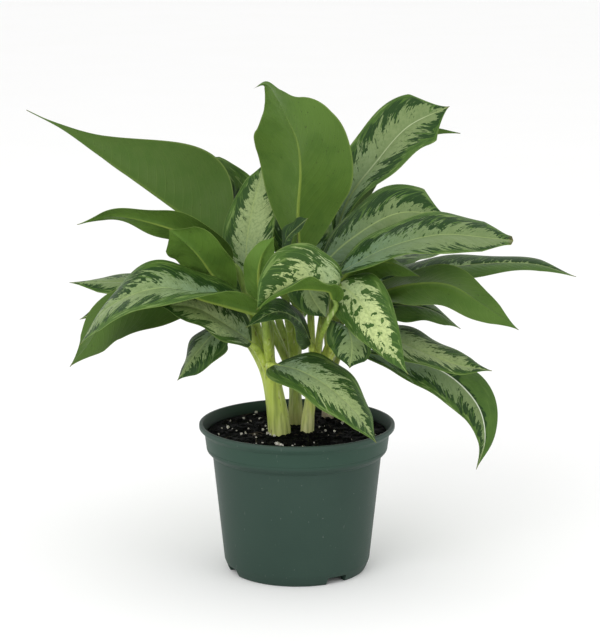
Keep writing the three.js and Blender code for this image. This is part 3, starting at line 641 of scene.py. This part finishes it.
blade(
    "top_centre", "back", 104, [(3, -8, 266), (1, -18, 308), (3, -32, 346), (0, -46, 372), (-8, -56, 391),
     (-16, -60, 407), (-25, -61, 418.5), (-34, -60, 415)], [(8, 6, 2), (9, 5, 1), (7, 7, 1), (2, 9, 3)],
    [(-5, 9, 2), (-7, 7, 3), (-8, 6, 2), (-4, 8, -4)], base=0.8, point=1.15,
)
blade(
    "top_right", "right", 64, [(32, 46, 277), (45, 54, 311), (68, 62, 341), (95, 70, 370), (131, 76, 387)],
    [(-8, 0, 6), (-7, 5, 4), (-4, 6, 6)], [(4, -9, 0), (5, -9, -2), (4, -7, -6)], base=1, point=0.5,
    bands=(0.62, 0.6), gleam=0.3, shade=0.4,
)
blade(
    "right_back", "right", 32,
    [(32, 64, 267), (48, 76, 304), (76, 90, 342), (111, 100, 364), (143, 106, 360)],
    [(5, -9, -1), (5, -8, -3), (5, -4, -8)], [(-1, 10, -3), (-1, 10, -2), (-2, 10, 0)],
)
blade(
    "right_high", "front_right", 62, [(18, 8, 258), (44, 8, 282), (83, 4, 305), (123, 0, 305)],
    [(-3, 8, 5), (-2, 8, 6), (0, 7, 7)], [(4, -2, -9), (5, 0, -9), (-1, -9, -5)], base=0.8, point=0.5,
    bands=(0.45, 0.9), cream=0, outer=0.7, shade=0.45,
)
blade(
    "right_long", "front_right", 62,
    [(34, -34, 261), (72, -46, 284), (115, -56, 297), (154, -60, 295), (174, -62, 293)],
    [(0, 8, 5), (1, 9, 5), (1, 9, 4)], [(-2, -10, -2), (-2, -10, -3), (-1, -9, -4)], point=0.5,
    bands=(0.45, 0.86), cream=0, shade=0.35, tip=6.5, draw=1,
)
blade(
    "right_edge", "right", 46,
    [(45, 20, 237), (92, 26, 249), (147, 26, 258), (201, 22, 259), (236, 18, 249)],
    [(-1, 10, 3), (0, 10, 2), (1, 10, 2)], [(1, -9, -3), (0, -9, -3), (-1, -9, -3)], bands=(0, -1),
    cream=0.05, outer=0.3,
)
blade(
    "right_olive", "front_right", 62,
    [(54, -20, 234), (93, -30, 249), (125, -40, 251), (150, -46, 237), (181, -50, 217)],
    [(-3, -9, -2), (-4, -8, -4), (-5, -6, -6)], [(2, 9, 3), (4, 8, 4), (5, 7, 5)], point=1.1,
)
blade(
    "right_small", "front_right", 42, [(58, 2, 222), (87, 2, 228), (114, 4, 223), (138, 4, 207)],
    [(-1, 10, 1)], [(0, -9, -5)], bands=(-1, -1), cream=0,
)
blade(
    "front_right", "front_right", 49,
    [(34, -46, 255), (46, -62, 248), (63, -80, 227), (76, -90, 208), (89, -94, 190)],
    [(8, 1, 4), (8, 0, 6), (7, 2, 5)], [(-5, 3, -6), (-6, 4, -4), (-7, 2, -5)], base=0.35, point=1.1,
    bands=(0.6, 0.6), cream=1, via=[(23, -10, 182), (32, -24, 206)],
)
blade(
    "front_centre", "front_right", 71.6, [(31, -63, 246), (28, -66, 253), (16, -70, 256), (1, -76, 257),
     (-12, -84, 254), (-23, -90, 249), (-32, -95, 243)], [(0, -9, 2.8)], [(0, 3, 9)], base=0.7, point=1,
    bands=(0.7, 0.6), cream=0.8, stem=2.2, via=[(17, -21, 189), (20, -49, 212), (27, -62, 231)],
)
blade(
    "young_fold", "front_left", 28, [(-28, -48, 241), (-31, -50, 260), (-28, -52, 279), (-18, -53, 295)],
    [(10, 0, -1)], [(-9, 4, 1)],
)
blade(
    "small_dark", "back", 26, [(-12, -22, 273), (-9, -26, 288), (-1, -32, 298), (9, -40, 308)], [(-1, 8, 5)],
    [(0, -9, -5)], bands=(-0.2, -0.2), cream=0, outer=0,
)
blade(
    "inner_silver", "back", 36, [(3, -32, 270), (7, -40, 256), (14, -46, 241), (24, -50, 227)], [(8, 3, 4)],
    [(-8, -2, -4)], bands=(0.8, 0.5), cream=0.15, outer=0.5,
)
blade(
    "inner_dark", "front_right", 44, [(12, -32, 203), (3, -49, 224), (-16, -67, 236), (-41, -86, 227)],
    [(-3, -6, -8), (1, -9, -5), (5, -9, 0)], [(-2, 8, 6), (-3, 9, 3), (-5, 9, -1)], bands=(0, 0), cream=0,
    outer=0.15,
)
blade(
    "front_low", "front_left", 66,
    [(-17, -40, 186), (4, -60, 185), (28, -76, 174), (49, -88, 156), (64, -95, 134)],
    [(6, 7, 3), (6, 8, 1), (5, 9, 0)], [(-6, -8, -1)], bands=(0.45, 0.56), cream=0.35,
)
blade(
    "front_short", "front_right", 40, [(37, -31, 216), (42, -44, 217), (45, -55, 205), (43, -63, 188)],
    [(8, 2, -4)], [(-9, 3, 3)], point=0.65, bands=(0.6, 0.5), outer=0.5,
)
# This blade's cream is partly its pale middle and partly painted light that brightens it where it lies in
# shade.
blade(
    "right_low", "front_right", 58,
    [(46, -10, 205), (73, -20, 205), (102, -32, 196), (130, -42, 187), (160, -50, 183)],
    [(4, 9, 2), (4, 9, 2), (3, 9, 3)], [(-4, -9, -1), (-4, -9, -1), (-3, -9, -2)], bands=(0.6, 0.74),
    cream=0.4,
)
blade(
    "right_hanging", "right", 52, [(47, 26, 184), (88, 24, 176), (120, 18, 169), (141, 12, 155),
     (156, 6, 135), (160, 2, 110), (153, 0, 85)], [(1, 10, 1), (2, 10, 1), (7, 6, 4), (9, 3, 1)],
    [(-1, -9, -3), (-3, -8, -5), (-8, -4, -5), (-8, -6, 0)], base=0.9, point=1.3, bands=(-1, 0.62), cream=0,
    gleam=0.75, shade=0.3,
)
blade(
    "inner_right", "front_right", 27, [(42, -20, 216), (46, -26, 226), (53, -30, 225), (58, -34, 212)],
    [(5, 8, 1)], [(-6, -7, -2)], base=0.8, bands=(0.6, 0.5),
)
blade(
    "right_inner_high", "front_right", 34, [(32, -14, 243), (49, -18, 261), (75, -22, 267), (101, -26, 257)],
    [(0, -7, -7)], [(1, 10, 2)],
)
blade(
    "back_left", "back", 70, [(-34, 70, 252), (-50, 94, 289), (-68, 114, 316), (-88, 130, 339)],
    [(-3, 7, -7)], [(5, -5, 7)], bands=(-0.3, -0.3), cream=0,
)
blade(
    "back_high", "back", 62, [(4, 52, 255), (4, 78, 283), (8, 108, 310), (13, 134, 342)], [(-9, 3, -2)],
    [(9, 2, -3)],
)
blade(
    "back_right", "right", 72, [(30, 62, 238), (63, 96, 248), (99, 126, 253), (143, 149, 251)], [(-6, 8, 0)],
    [(6, -8, -1)],
)
blade(
    "back_low_right", "right", 62, [(34, 66, 209), (66, 98, 213), (100, 128, 205), (130, 150, 188)],
    [(-6, 7, 2)], [(6, -7, -3)],
)
blade(
    "back_low_left", "back", 64, [(-31, 68, 206), (-61, 100, 214), (-98, 128, 215), (-134, 150, 201)],
    [(-6, -8, -1)], [(6, 8, 2)],
)
blade(
    "back_side_left", "back", 56, [(-39, 62, 220), (-59, 86, 237), (-81, 110, 252), (-105, 134, 257)],
    [(-5, -8, 4)], [(5, 8, -4)],
)
blade(
    "back_hanging", "back", 44, [(3, 47, 222), (3, 70, 231), (5, 96, 221), (7, 114, 194)], [(-9, 2, -1)],
    [(9, -1, -2)],
)


def smooth_path(knots, count):
    """Places spread evenly over a centripetal Catmull-Rom curve. At a knot its slope is the slope of the
    span before, less the slope across both, plus the slope of the span after, each taken over the square
    root of its length; between knots it is the cubic that has those ends and slopes."""
    knots = np.asarray(knots, float)
    knots = np.concatenate([[2 * knots[0] - knots[1]], knots, [2 * knots[-1] - knots[-2]]])
    spans = np.diff(knots, axis=0)
    root = np.sqrt(np.linalg.norm(spans, axis=1))[:, None]
    slope = spans / root
    at_knot = slope[:-1] - (knots[2:] - knots[:-2]) / (root[1:] + root[:-1]) + slope[1:]
    first, last = knots[1:-2, None], knots[2:-1, None]
    leave, reach = (at_knot[:-1] * root[1:-1])[:, None], (at_knot[1:] * root[1:-1])[:, None]
    u = np.linspace(0, 1, CURVE_STEPS)[None, :, None]
    cubic = first + leave * u + (3 * (last - first) - 2 * leave - reach) * u**2
    cubic = (cubic + (2 * (first - last) + leave + reach) * u**3).reshape(-1, 3)
    along = np.concatenate([[0], np.linalg.norm(np.diff(cubic, axis=0), axis=1).cumsum()])
    even = np.linspace(0, along[-1], count)
    return np.stack([np.interp(even, along, cubic[:, axis]) for axis in range(3)], -1)


def spread(directions, along):
    """The way a half blade spreads at each share of the length: the list is spread evenly over the
    length from 0.15 to 0.85, and the value is its mean over a window of 0.16."""
    table = np.array(directions, float)
    window = np.linspace(-SPREAD_WINDOW / 2, SPREAD_WINDOW / 2, 9)
    turn = np.clip((along[:, None] + window - SPREAD_FROM) / SPREAD_SPAN, 0, 1)
    knots = np.linspace(0, 1, len(table))
    return np.stack([np.interp(turn, knots, table[:, axis]).mean(axis=1) for axis in range(3)], -1)


def stations(leaf, count):
    """Along a blade: shares of its length, places on the midrib, headings, and for its left and right
    half the way it spreads, square to the heading, and its upward normal; and the rib's own normal."""
    along = np.linspace(0, 1, count)
    place = smooth_path(leaf["spine"], count)
    heading = unit(np.gradient(place, axis=0))
    halves = []
    for side in ("left", "right"):
        out = spread(leaf[side], along)
        halves.append(unit(out - (out * heading).sum(-1, keepdims=True) * heading))
    normals = [np.cross(heading, halves[0]), np.cross(halves[1], heading)]
    return along, place, heading, halves, normals, unit(normals[0] + normals[1])


def grooved(angle):
    """A petiole's section: round, with a shallow channel down its upper side."""
    return 1 - CHANNEL_DEPTH * np.exp(-(((angle - 1.5 * np.pi) / CHANNEL_WIDTH) ** 2))


def swept_mesh(name, path, radii, sides, lean, shape=None):
    """A swept body as a mesh of its own."""
    points, faces = swept(path, radii, sides, lean, shape)
    return new_mesh(name, placed(points), faces)


def petiole_mesh(leaf, foot, neck, head):
    """One petiole. It leaves the bundle on the side of its blade, thins from half the bundle's radius to
    its stem's, and runs on inside the blade's keel."""
    radius = SHOOTS[leaf["shoot"]][1]
    _, place, heading, _, _, rib_up = stations(leaf, CURVE_STEPS)
    root = place[0] - ROOT_SUNK * rib_up[0] - GAP * heading[0]
    side = unit((root - head) * [1, 1, 0]) * radius * PETIOLE_REACH
    via = [np.array(spot, float) for spot in leaf["via"]]
    inside = place[2] - INSIDE_SUNK * rib_up[2]
    route = [foot + side, neck + side, head + side, *via, root - APPROACH * heading[0], root, inside]
    u = np.linspace(0, 1, PETIOLE_STEPS)
    thinned = np.clip((u - THINS_FROM) / THINS_OVER, 0, 1) ** (THINS_FAST * leaf["stem"] ** 2)
    girth = radius * PETIOLE_GIRTH * (1 - thinned) + leaf["stem"] * thinned
    girth = girth * np.interp(u, [ENDS_FROM, 1], [1, 0.5])
    lean = np.cross(side, [0, 0, 1.0])
    return swept_mesh("petiole", smooth_path(route, PETIOLE_STEPS), girth, PETIOLE_SIDES, lean, grooved)


def shoot_mesh(name):
    """The bundle's core and every petiole, joined."""
    lean, radius, splay, _, _ = SHOOTS[name]
    foot = np.array([*SHOOT_FEET[name], SHOOT_ROOT], float)
    neck = np.array([*SHOOT_FEET[name], SHOOT_NECK], float)
    head = foot + [*lean, splay - SHOOT_ROOT]
    radii = radius * np.interp(np.linspace(0, 1, CORE_STEPS), [0, 0.5, 1], CORE_GIRTH)
    path = smooth_path([foot, neck, head], CORE_STEPS)
    core = swept_mesh(name, path, radii, CORE_SIDES, np.array([1.0, 0, 0]))
    own = [leaf for leaf in LEAVES.values() if leaf["shoot"] == name]
    petioles = [petiole_mesh(leaf, foot, neck, head) for leaf in own]
    return joined(f"shoot_{name}", core, petioles, "UNION", SHOOT_CRISP)


def stalk_skin(name):
    """Cream where it leaves the soil, then the shoot's own colour, then green toward the blades, with
    fine lengthwise lines, papery sheath edges and small brown nicks."""
    _, _, _, foot_colour, own_colour = SHOOTS[name]
    material, tree = new_material(f"stalk_{name}", 0.42, 0.4)
    place = object_place(tree)
    streak = noise(stretched(place, (420, 420, 22)), 1, 3)
    blot = noise(stretched(place, (160, 160, 50)), 1, 2)
    risen = (blot - 0.5) * FADE_WANDER + made("SeparateXYZ", {0: place}, "Z")
    body = mixed(ramped(risen, *CREAM_ENDS), foot_colour, own_colour)
    body = mixed(ramped(risen, *GREEN_STARTS), body, PETIOLE_GREEN)
    body = tinted(body, ramped(streak, 0.46, 0.7), 0.42, FURROW_GREEN)
    body = tinted(body, ramped(streak, 0.42, 0.28), 0.4, SHEATH_PAPER)
    nick = ramped(noise(stretched(place, (300, 300, 120)), 1, 1), 0.7, 0.75)
    return finished(material, tinted(body, nick, 0.6, NICK_BROWN), height=streak, relief=0.0003)


for shoot_name in SHOOTS:
    node = f"shoot_{shoot_name}"
    add_piece(node, shoot_mesh(shoot_name), [stalk_skin(shoot_name)], [node])

# ---- Leaf blades ----
# Thin pointed blades, silver-green above with a dark margin that feathers in along the side veins, and
# plain mid-green below. Each hangs on its petiole by a keeled midrib, folded or waved as it dried.
ROW_PITCH, ROWS_LEAST, ROWS_MOST, HALF_COLUMNS, COLUMN_CROWDING, BLADE_CRISP = 1.35, 40, 160, 18, 1.2, 60
TIP_START, ROOT_HALF, TIP_BLUNT, TIP_LEAST = 0.84, 2.8, 0.01, 0.2
RUFFLE_HEIGHT, RUFFLES, RUFFLE_TURN, HALF_TURN, QUILT, BOW = 1.6, 2.5, 1.3, 1.7, 0.1, 0.28
VEIN_PITCH, VEIN_SWEEP, VEIN_CURL, VEIN_SHIFT = 5, 0.6, 0.8, 0.37
GROOVE_DEPTH, GROOVE_REACH, RIB_REACH = 0.7, 1.3, 1.8
LEAF_SHEET, MARGIN_SHEET, KEEL, KEEL_REACH = 0.5, 0.3, 2.6, 2.2
LEAF_APART = 17.3
# The blades that show their plain underside, and how light it is.
PLAIN = {
    "left_high": 0.3, "left_mid": 0.85, "left_young": 1, "left_droop": 0.35, "top_centre": 0.7,
    "right_back": 0.4, "right_olive": 0.55, "young_fold": 1, "right_inner_high": 0.8,
}


def outline(leaf, along):
    """The half-width as a share of its widest: along^base × (1 − along)^point, over its greatest; past
    the tip's start it is no more than (1 − along)^draw, which draws the point out."""
    rise, fall = leaf["base"], leaf["point"]
    widest = rise / (rise + fall)

    def share(t):
        return (t / widest) ** rise * ((1 - t) / (1 - widest)) ** fall

    drawn = share(TIP_START) * ((1 - along) / (1 - TIP_START)) ** leaf["draw"]
    return np.where(along > TIP_START, np.minimum(share(along), drawn), share(along))


def blade_mesh(name, order):
    """Rows run from root to tip, and columns from the left edge to the right. A point is the midrib's
    place + half direction × out + normal × lift, where lift is a shallow bow across each half, a ruffle
    that grows toward the margin, and a quilt that puffs between the side veins. The lower skin lies
    under it by the sheet's thickness and the keel's depth, and a rim closes the two."""
    leaf = LEAVES[name]
    length = np.linalg.norm(np.diff(smooth_path(leaf["spine"], CURVE_STEPS), axis=0), axis=1).sum()
    rows = int(np.clip(length / ROW_PITCH, ROWS_LEAST, ROWS_MOST))
    along, place, _, halves, normals, rib_up = stations(leaf, rows)
    share = (np.arange(HALF_COLUMNS + 1) / HALF_COLUMNS) ** COLUMN_CROWDING
    signed = np.concatenate([-share[:0:-1], share])
    side = (signed > 0).astype(int)
    reach = np.abs(signed)
    outlined = outline(leaf, along)[:, None]
    least = ROOT_HALF + (leaf["tip"] - ROOT_HALF) * along**0.6
    least = np.maximum(least * np.clip((1 - along) / TIP_BLUNT, 0, 1) ** 0.5, TIP_LEAST)[:, None]
    edge = ((leaf["width"] / 2 * outlined) ** 3 + least**3) ** (1 / 3)
    along = along[:, None]
    out = edge * reach
    arc = length * along
    swept_back = edge * (VEIN_SWEEP * reach + VEIN_CURL * reach**3)
    phase = (arc - swept_back) / (VEIN_PITCH + leaf["width"] / 25) + VEIN_SHIFT * side
    turns = RUFFLES * 2 * np.pi * along + order * RUFFLE_TURN + HALF_TURN * side
    bow = BOW * edge * reach * (1 - reach)
    ruffle = RUFFLE_HEIGHT * np.sin(turns) * reach**2 * outlined
    quilt = -QUILT * np.cos(2 * np.pi * phase) * 4 * reach * (1 - reach) * outlined
    groove = -GROOVE_DEPTH * (1 - along) ** 0.5 * np.exp(-((out / GROOVE_REACH) ** 2))
    lift = (bow + ruffle + quilt + groove)[..., None]
    near_rib = np.exp(-((out / RIB_REACH) ** 2))[..., None]
    spreading, normal = np.stack(halves, 1)[:, side], np.stack(normals, 1)[:, side]
    normal = unit(normal * (1 - near_rib) + rib_up[:, None] * near_rib)
    upper = place[:, None] + spreading * out[..., None] + normal * lift
    thick = LEAF_SHEET + (MARGIN_SHEET - LEAF_SHEET) * reach**2
    keel = KEEL * (1 - along) ** 0.7 * np.exp(-((out / (KEEL_REACH - along)) ** 2))
    lower = upper - normal * (thick + keel)[..., None]
    columns = len(signed)
    count = rows * columns
    top = grid_faces(rows, columns)
    across, down = np.arange(columns), np.arange(rows) * columns
    loop = np.concatenate([across[:-1], down[:-1] + columns - 1, (count - 1 - across)[:-1], down[:0:-1]])
    ahead = np.roll(loop, -1)
    rim = np.stack([ahead, loop, loop + count, ahead + count], -1)
    points = np.concatenate([upper.reshape(-1, 3), lower.reshape(-1, 3)])
    mesh = bpy.data.meshes.new(name)
    mesh.from_pydata(placed(points).tolist(), [], np.concatenate([top, top[:, ::-1] + count, rim]).tolist())
    smooth(mesh, BLADE_CRISP)
    skin = np.repeat([0, 1], [len(top), len(top) + len(rim)]).astype(np.int32)
    mesh.polygons.foreach_set("material_index", skin)
    marks = {
        "blade": (phase, signed, along),
        "grain": (arc, out * np.sign(signed), LEAF_APART * order),
        "look": (np.array(leaf["bands"])[side], leaf["cream"], PLAIN.get(name, leaf["outer"])),
        "light": (leaf["gleam"], leaf["shade"], 0),
    }
    for label, parts in marks.items():
        values = np.stack([part + 0 * out for part in parts], -1).reshape(-1, 3)
        values = np.tile(values, (2, 1)).astype(np.float32)
        mesh.attributes.new(label, "FLOAT_VECTOR", "POINT").data.foreach_set("vector", values.ravel())
    return mesh


def marked(tree, label):
    """The three values of a mesh attribute, and the attribute as one place."""
    whole = Field(tree, put(tree, "Attribute", attribute_name=label).outputs["Vector"])
    parts = put(tree, "SeparateXYZ", {0: whole}).outputs
    return [*(Field(tree, part) for part in parts), whole]


def combined(x, y, z):
    """Three values as one place."""
    return made("CombineXYZ", {0: x, 1: y, 2: z})


LINE_MASKS = ["Rib", "Veins", "Fine Lines", "Margin", "Mottle", "Tip"]
VEIN_WIDTH, FINE_LINES, MARGIN_STARTS, DRY_STARTS = 0.08, 9.0, (0.965, 0.99), (0.965, 1.0)


def leaf_lines():
    """A node group of masks that both skins use: the midrib, the side veins, the fine lines between
    them, the margin line, a soft mottle and the tip. A side vein is where its phase is a whole number."""
    tree = bpy.data.node_groups.new("leaf_lines", "ShaderNodeTree")
    tree.interface.new_socket("Rib Width", in_out="INPUT", socket_type="NodeSocketFloat")
    for label in LINE_MASKS:
        tree.interface.new_socket(label, in_out="OUTPUT", socket_type="NodeSocketFloat")
    rib_width = Field(tree, tree.nodes.new("NodeGroupInput").outputs["Rib Width"])
    wanted = tree.nodes.new("NodeGroupOutput")
    phase, signed, along, _ = marked(tree, "blade")
    _, out, _, grain = marked(tree, "grain")
    rib = ramped(abs(out) / ((along * -0.75 + 1.15) * rib_width), 1.1, 0.5)
    vein = ramped(0.5 - abs(calc("FRACT", phase) - 0.5), VEIN_WIDTH, 0.0)
    fine = noise(combined(phase * FINE_LINES, abs(signed), along), 1.6, 2)
    margin, tip = ramped(abs(signed), *MARGIN_STARTS), ramped(along, *DRY_STARTS)
    for label, mask in zip(LINE_MASKS, (rib, vein, fine, margin, noise(grain, 0.13, 3), tip)):
        tree.links.new(mask.output, wanted.inputs[label])
    return tree


lines_group = leaf_lines()


def lines_on(tree, rib_width):
    """The masks of the leaf lines in a material's tree, by name."""
    group = put(tree, "Group", {"Rib Width": rib_width}, node_tree=lines_group)
    return {label: Field(tree, group.outputs[label]) for label in LINE_MASKS}


HALVES_APART, BAND_SHIFT, PLAIN_BANDS = 3.1, 0.04, (-0.5, -0.9)
ROOT_CLOSES, TIP_CLOSES, CREAM_CLOSES = (0.12, 0.0), (0.8, 1.0), (0.6, 0.95)


def feathering(tree):
    """Where the dark margin is: share out + clouds, against the band. The clouds are drawn out along the
    side veins, because they read the vein phase faster than the way out. The dark closes in at the root
    and at the tip. Also the mid-green outer zone, the lines and furrows that run along it, the streaks
    in the dark, and the speckles in the silver. A band well below 0 makes a half plain mid-green."""
    phase, signed, along, _ = marked(tree, "blade")
    arc, out, leaf_number, grain = marked(tree, "grain")
    band, cream, zone, _ = marked(tree, "look")
    reach = abs(signed)
    number = calc("SIGN", signed) * HALVES_APART + leaf_number

    def cloud(fast, slow, seed, detail, first=phase, second=abs(out)):
        return noise(combined(first * fast, second * slow, number + seed), 1.0, detail) - 0.5

    wander = cloud(0.8, 0.07, 5.0, 2) * 1.3 + cloud(2.5, 0.16, 9.0, 3) * 0.9 + cloud(0.22, 0.02, 0.0, 1) * 0.6
    edge = reach + BAND_SHIFT - band + wander
    edge = edge + ramped(along, *ROOT_CLOSES) * 0.3 + ramped(along, *TIP_CLOSES) * 0.22
    edge = edge + ramped(along, *CREAM_CLOSES) * cream * 0.5
    flecks = cloud(3.2, 0.25, 41.0, 2)
    strayed = ramped(flecks, 0.08, 0.12) * ramped(edge, -0.4, -0.05)
    gaps = ramped(flecks, -0.11, -0.15) * ramped(edge, 0.35, 0.03)
    blots = ramped(noise(grain, 0.16, 3), 0.575, 0.59) * ramped(cream, 0.5, 0.8)
    dark = larger(larger(ramped(edge, -0.01, 0.02) * (1 - gaps), strayed), blots)
    plain = ramped(band, *PLAIN_BANDS)
    beyond = cloud(0.8, 0.07, 31.0, 2) * 0.7 + reach - (band * 0.42 + 0.54)
    grooves = cloud(11.0, 0.045, 13.0, 2, reach, arc)
    lined = 1 - plain * 0.85
    dots = ramped(noise(grain, 0.8, 2), 0.6, 0.66)
    return {
        "dark": dark,
        "outer": ramped(beyond, -0.03, 0.04) * larger(zone, plain) * dark,
        "lines": ramped(grooves, 0.05, 0.12) * lined,
        "furrows": ramped(grooves, -0.06, -0.13) * lined,
        "streaks": ramped(cloud(2.6, 0.1, 21.0, 2), 0.07, 0.14),
        "speckles": dots * (ramped(edge, -0.35, -0.04) * 0.7 + 0.15),
    }


SILVER_ROOT, SILVER_TIP, SILVER_MOTTLE = (108, 140, 124), (128, 148, 98), (100, 122, 72)
SILVER_SHADE, SILVER_CREAM, SILVER_CLOUD = (96, 110, 70), (196, 210, 144), (96, 120, 74)
SILVER_LINE, SPECKLE = (92, 116, 66), (82, 108, 56)
DARK_DEEP, DARK_SOFT, DARK_CREAM, DARK_STREAK = (26, 50, 22), (44, 72, 30), (62, 92, 38), (84, 114, 52)
OUTER_DEEP, OUTER_SOFT, OUTER_LINE, OUTER_FURROW = (56, 86, 34), (82, 112, 46), (126, 150, 84), (44, 72, 28)
RIB_GREEN, RIB_SHINE, DRY_TIP, MARGIN_LINE = (160, 178, 112), (236, 242, 228), (100, 88, 50), (112, 132, 72)
UNDER_DEEP, UNDER_LIGHT, UNDER_PATCH, UNDER_LINE = (62, 84, 35), (92, 124, 50), (62, 94, 34), (54, 82, 28)
UNDER_VEIN, UNDER_SPECK = (112, 140, 62), (46, 50, 26)
UNDER_RIB, UNDER_MARGIN = (148, 168, 76), (140, 158, 84)
DRY_SHARE, LEAF_RELIEF = 0.6, 0.00015


def upper_skin():
    """Silver-green, bluer at the root and creamier toward the tip, with the dark feathered margin over it."""
    material, tree = new_material("leaf_upper", 0.42, 0.12)
    lines, feather = lines_on(tree, 1.0), feathering(tree)
    along, cream, grain = marked(tree, "blade")[2], marked(tree, "look")[1], marked(tree, "grain")[3]
    gleam, shade, _, _ = marked(tree, "light")
    silver = mixed(ramped(along, 0.0, 0.7), SILVER_ROOT, SILVER_TIP)
    silver = tinted(silver, ramped(lines["Mottle"], 0.35, 0.65), 0.4, SILVER_MOTTLE)
    silver = mixed(shade, silver, SILVER_SHADE)
    paler = ramped(along, 0.1, 0.5) * 0.35 + 0.6 + ramped(along, 0.6, 1.0) * -0.6
    silver = mixed(cream * paler, silver, SILVER_CREAM)
    silver = tinted(silver, ramped(noise(grain, 0.45, 3), 0.42, 0.66), 0.35, SILVER_CLOUD)
    silver = tinted(silver, lines["Fine Lines"], 0.25, SILVER_LINE)
    silver = tinted(silver, lines["Veins"], 0.12, SILVER_LINE)
    silver = mixed(feather["speckles"], silver, SPECKLE)
    dark = tinted(mixed(lines["Mottle"], DARK_DEEP, DARK_SOFT), cream, 0.8, DARK_CREAM)
    dark = tinted(dark, feather["streaks"], 0.75, DARK_STREAK)
    outer = tinted(mixed(lines["Mottle"], OUTER_DEEP, OUTER_SOFT), feather["lines"], 0.55, OUTER_LINE)
    outer = tinted(outer, feather["furrows"], 0.6, OUTER_FURROW)
    body = mixed(feather["dark"], silver, mixed(feather["outer"], dark, outer))
    gleam = gleam * (ramped(along, 0.25, 0.45) * ramped(along, 0.95, 0.8))
    body = mixed(lines["Rib"] * (gleam * 0.5 + 0.5), body, mixed(gleam, RIB_GREEN, RIB_SHINE))
    body = tinted(body, lines["Tip"], DRY_SHARE, DRY_TIP)
    body = tinted(body, lines["Margin"], 0.45, MARGIN_LINE)
    relief = lines["Fine Lines"] - lines["Veins"] * 0.8
    return finished(material, body, lines["Mottle"] * 0.16 + 0.34, relief, LEAF_RELIEF)


def under_skin():
    """Plain mid-green with a pale keel, faint raised side veins, soft darker patches and a pale margin."""
    material, tree = new_material("leaf_under", 0.55, 0.12)
    lines = lines_on(tree, 1.5)
    along, tone, grain = marked(tree, "blade")[2], marked(tree, "look")[2], marked(tree, "grain")[3]
    patch = ramped(noise(grain, 0.055, 3), 0.42, 0.66)
    body = tinted(mixed(tone, UNDER_DEEP, UNDER_LIGHT), patch, 0.35, UNDER_PATCH)
    body = tinted(body, lines["Fine Lines"], 0.14, UNDER_LINE)
    body = tinted(body, lines["Veins"], 0.1, UNDER_VEIN)
    body = tinted(body, ramped(noise(grain, 0.5, 1), 0.72, 0.75), 0.5, UNDER_SPECK)
    ribbed = lines["Rib"] * ramped(along, 0.85, 0.35) * (ramped(tone, 0.4, 0.8) * 0.6 + 0.12)
    body = mixed(ribbed, body, UNDER_RIB)
    body = tinted(body, lines["Tip"], DRY_SHARE, DRY_TIP)
    body = tinted(body, lines["Margin"], 0.3, UNDER_MARGIN)
    relief = lines["Veins"] * 0.9 + lines["Fine Lines"]
    return finished(material, body, patch * 0.12 + 0.42, relief, LEAF_RELIEF)


leaf_skins = [upper_skin(), under_skin()]
for leaf_order, leaf_name in enumerate(LEAVES):
    add_piece(leaf_name, blade_mesh(leaf_name, leaf_order), leaf_skins, [f"leaf_{leaf_name}"])

# ---- Floor, light and camera ----
# A plain pale floor under soft studio light from the front left, seen a little from above, as in the
# photo: a long lens, 1.7 m away, tipped down by 11.6 degrees.
FLOOR_HALF, FLOOR_PALE, FLOOR_WHITE = 40.0, (250, 250, 249), (252, 252, 252)
LIGHT_TARGET, LIGHT_SIZE = (0, 0, 0.2), 2.0
CAMERA_PLACE, CAMERA_TIP = (2.56, -1728, 570.2), 0.2029
FOCAL_LENGTH, SENSOR, SEES_TO = 117.94, 36.0, 200.0


def pale_floor():
    """Pale matt floor with a very faint unevenness."""
    material, tree = new_material("floor", 0.9, 0.1)
    return finished(material, mixed(noise(object_place(tree), 3, 2), FLOOR_PALE, FLOOR_WHITE))


corners = np.array([(-1, -1, 0), (1, -1, 0), (1, 1, 0), (-1, 1, 0)]) * FLOOR_HALF
floor = add_object("floor", new_mesh("floor", corners, np.array([[0, 1, 2, 3]])))
floor.data.materials.append(pale_floor())


def soft_box(name, place, power):
    """A square area light that faces the plant."""
    light = bpy.data.lights.new(name, "AREA")
    light.size, light.energy = LIGHT_SIZE, power
    lamp = add_object(name, light)
    lamp.location = place
    offset = np.subtract(LIGHT_TARGET, place)
    flat = np.hypot(offset[0], offset[1])
    lamp.rotation_euler = (np.arctan2(flat, -offset[2]), 0, np.arctan2(-offset[0], offset[1]))


soft_box("key", (-1.3, -2.3, 1.9), 30)
soft_box("fill", (2.2, -1.6, 1.6), 10)
world = bpy.data.worlds.new("studio")
world.use_nodes = True
world.node_tree.nodes["Background"].inputs["Color"].default_value = (1, 1, 1, 1)
world.node_tree.nodes["Background"].inputs["Strength"].default_value = 1.0
bpy.context.scene.world = world
bpy.context.scene.view_settings.view_transform = "Standard"

lens = bpy.data.cameras.new("photo_view")
lens.lens, lens.sensor_width, lens.clip_end = FOCAL_LENGTH, SENSOR, SEES_TO
viewer = add_object("photo_view", lens)
viewer.location = placed(CAMERA_PLACE)
viewer.rotation_euler = (np.pi / 2 - CAMERA_TIP, 0, 0)
bpy.context.scene.camera = viewer
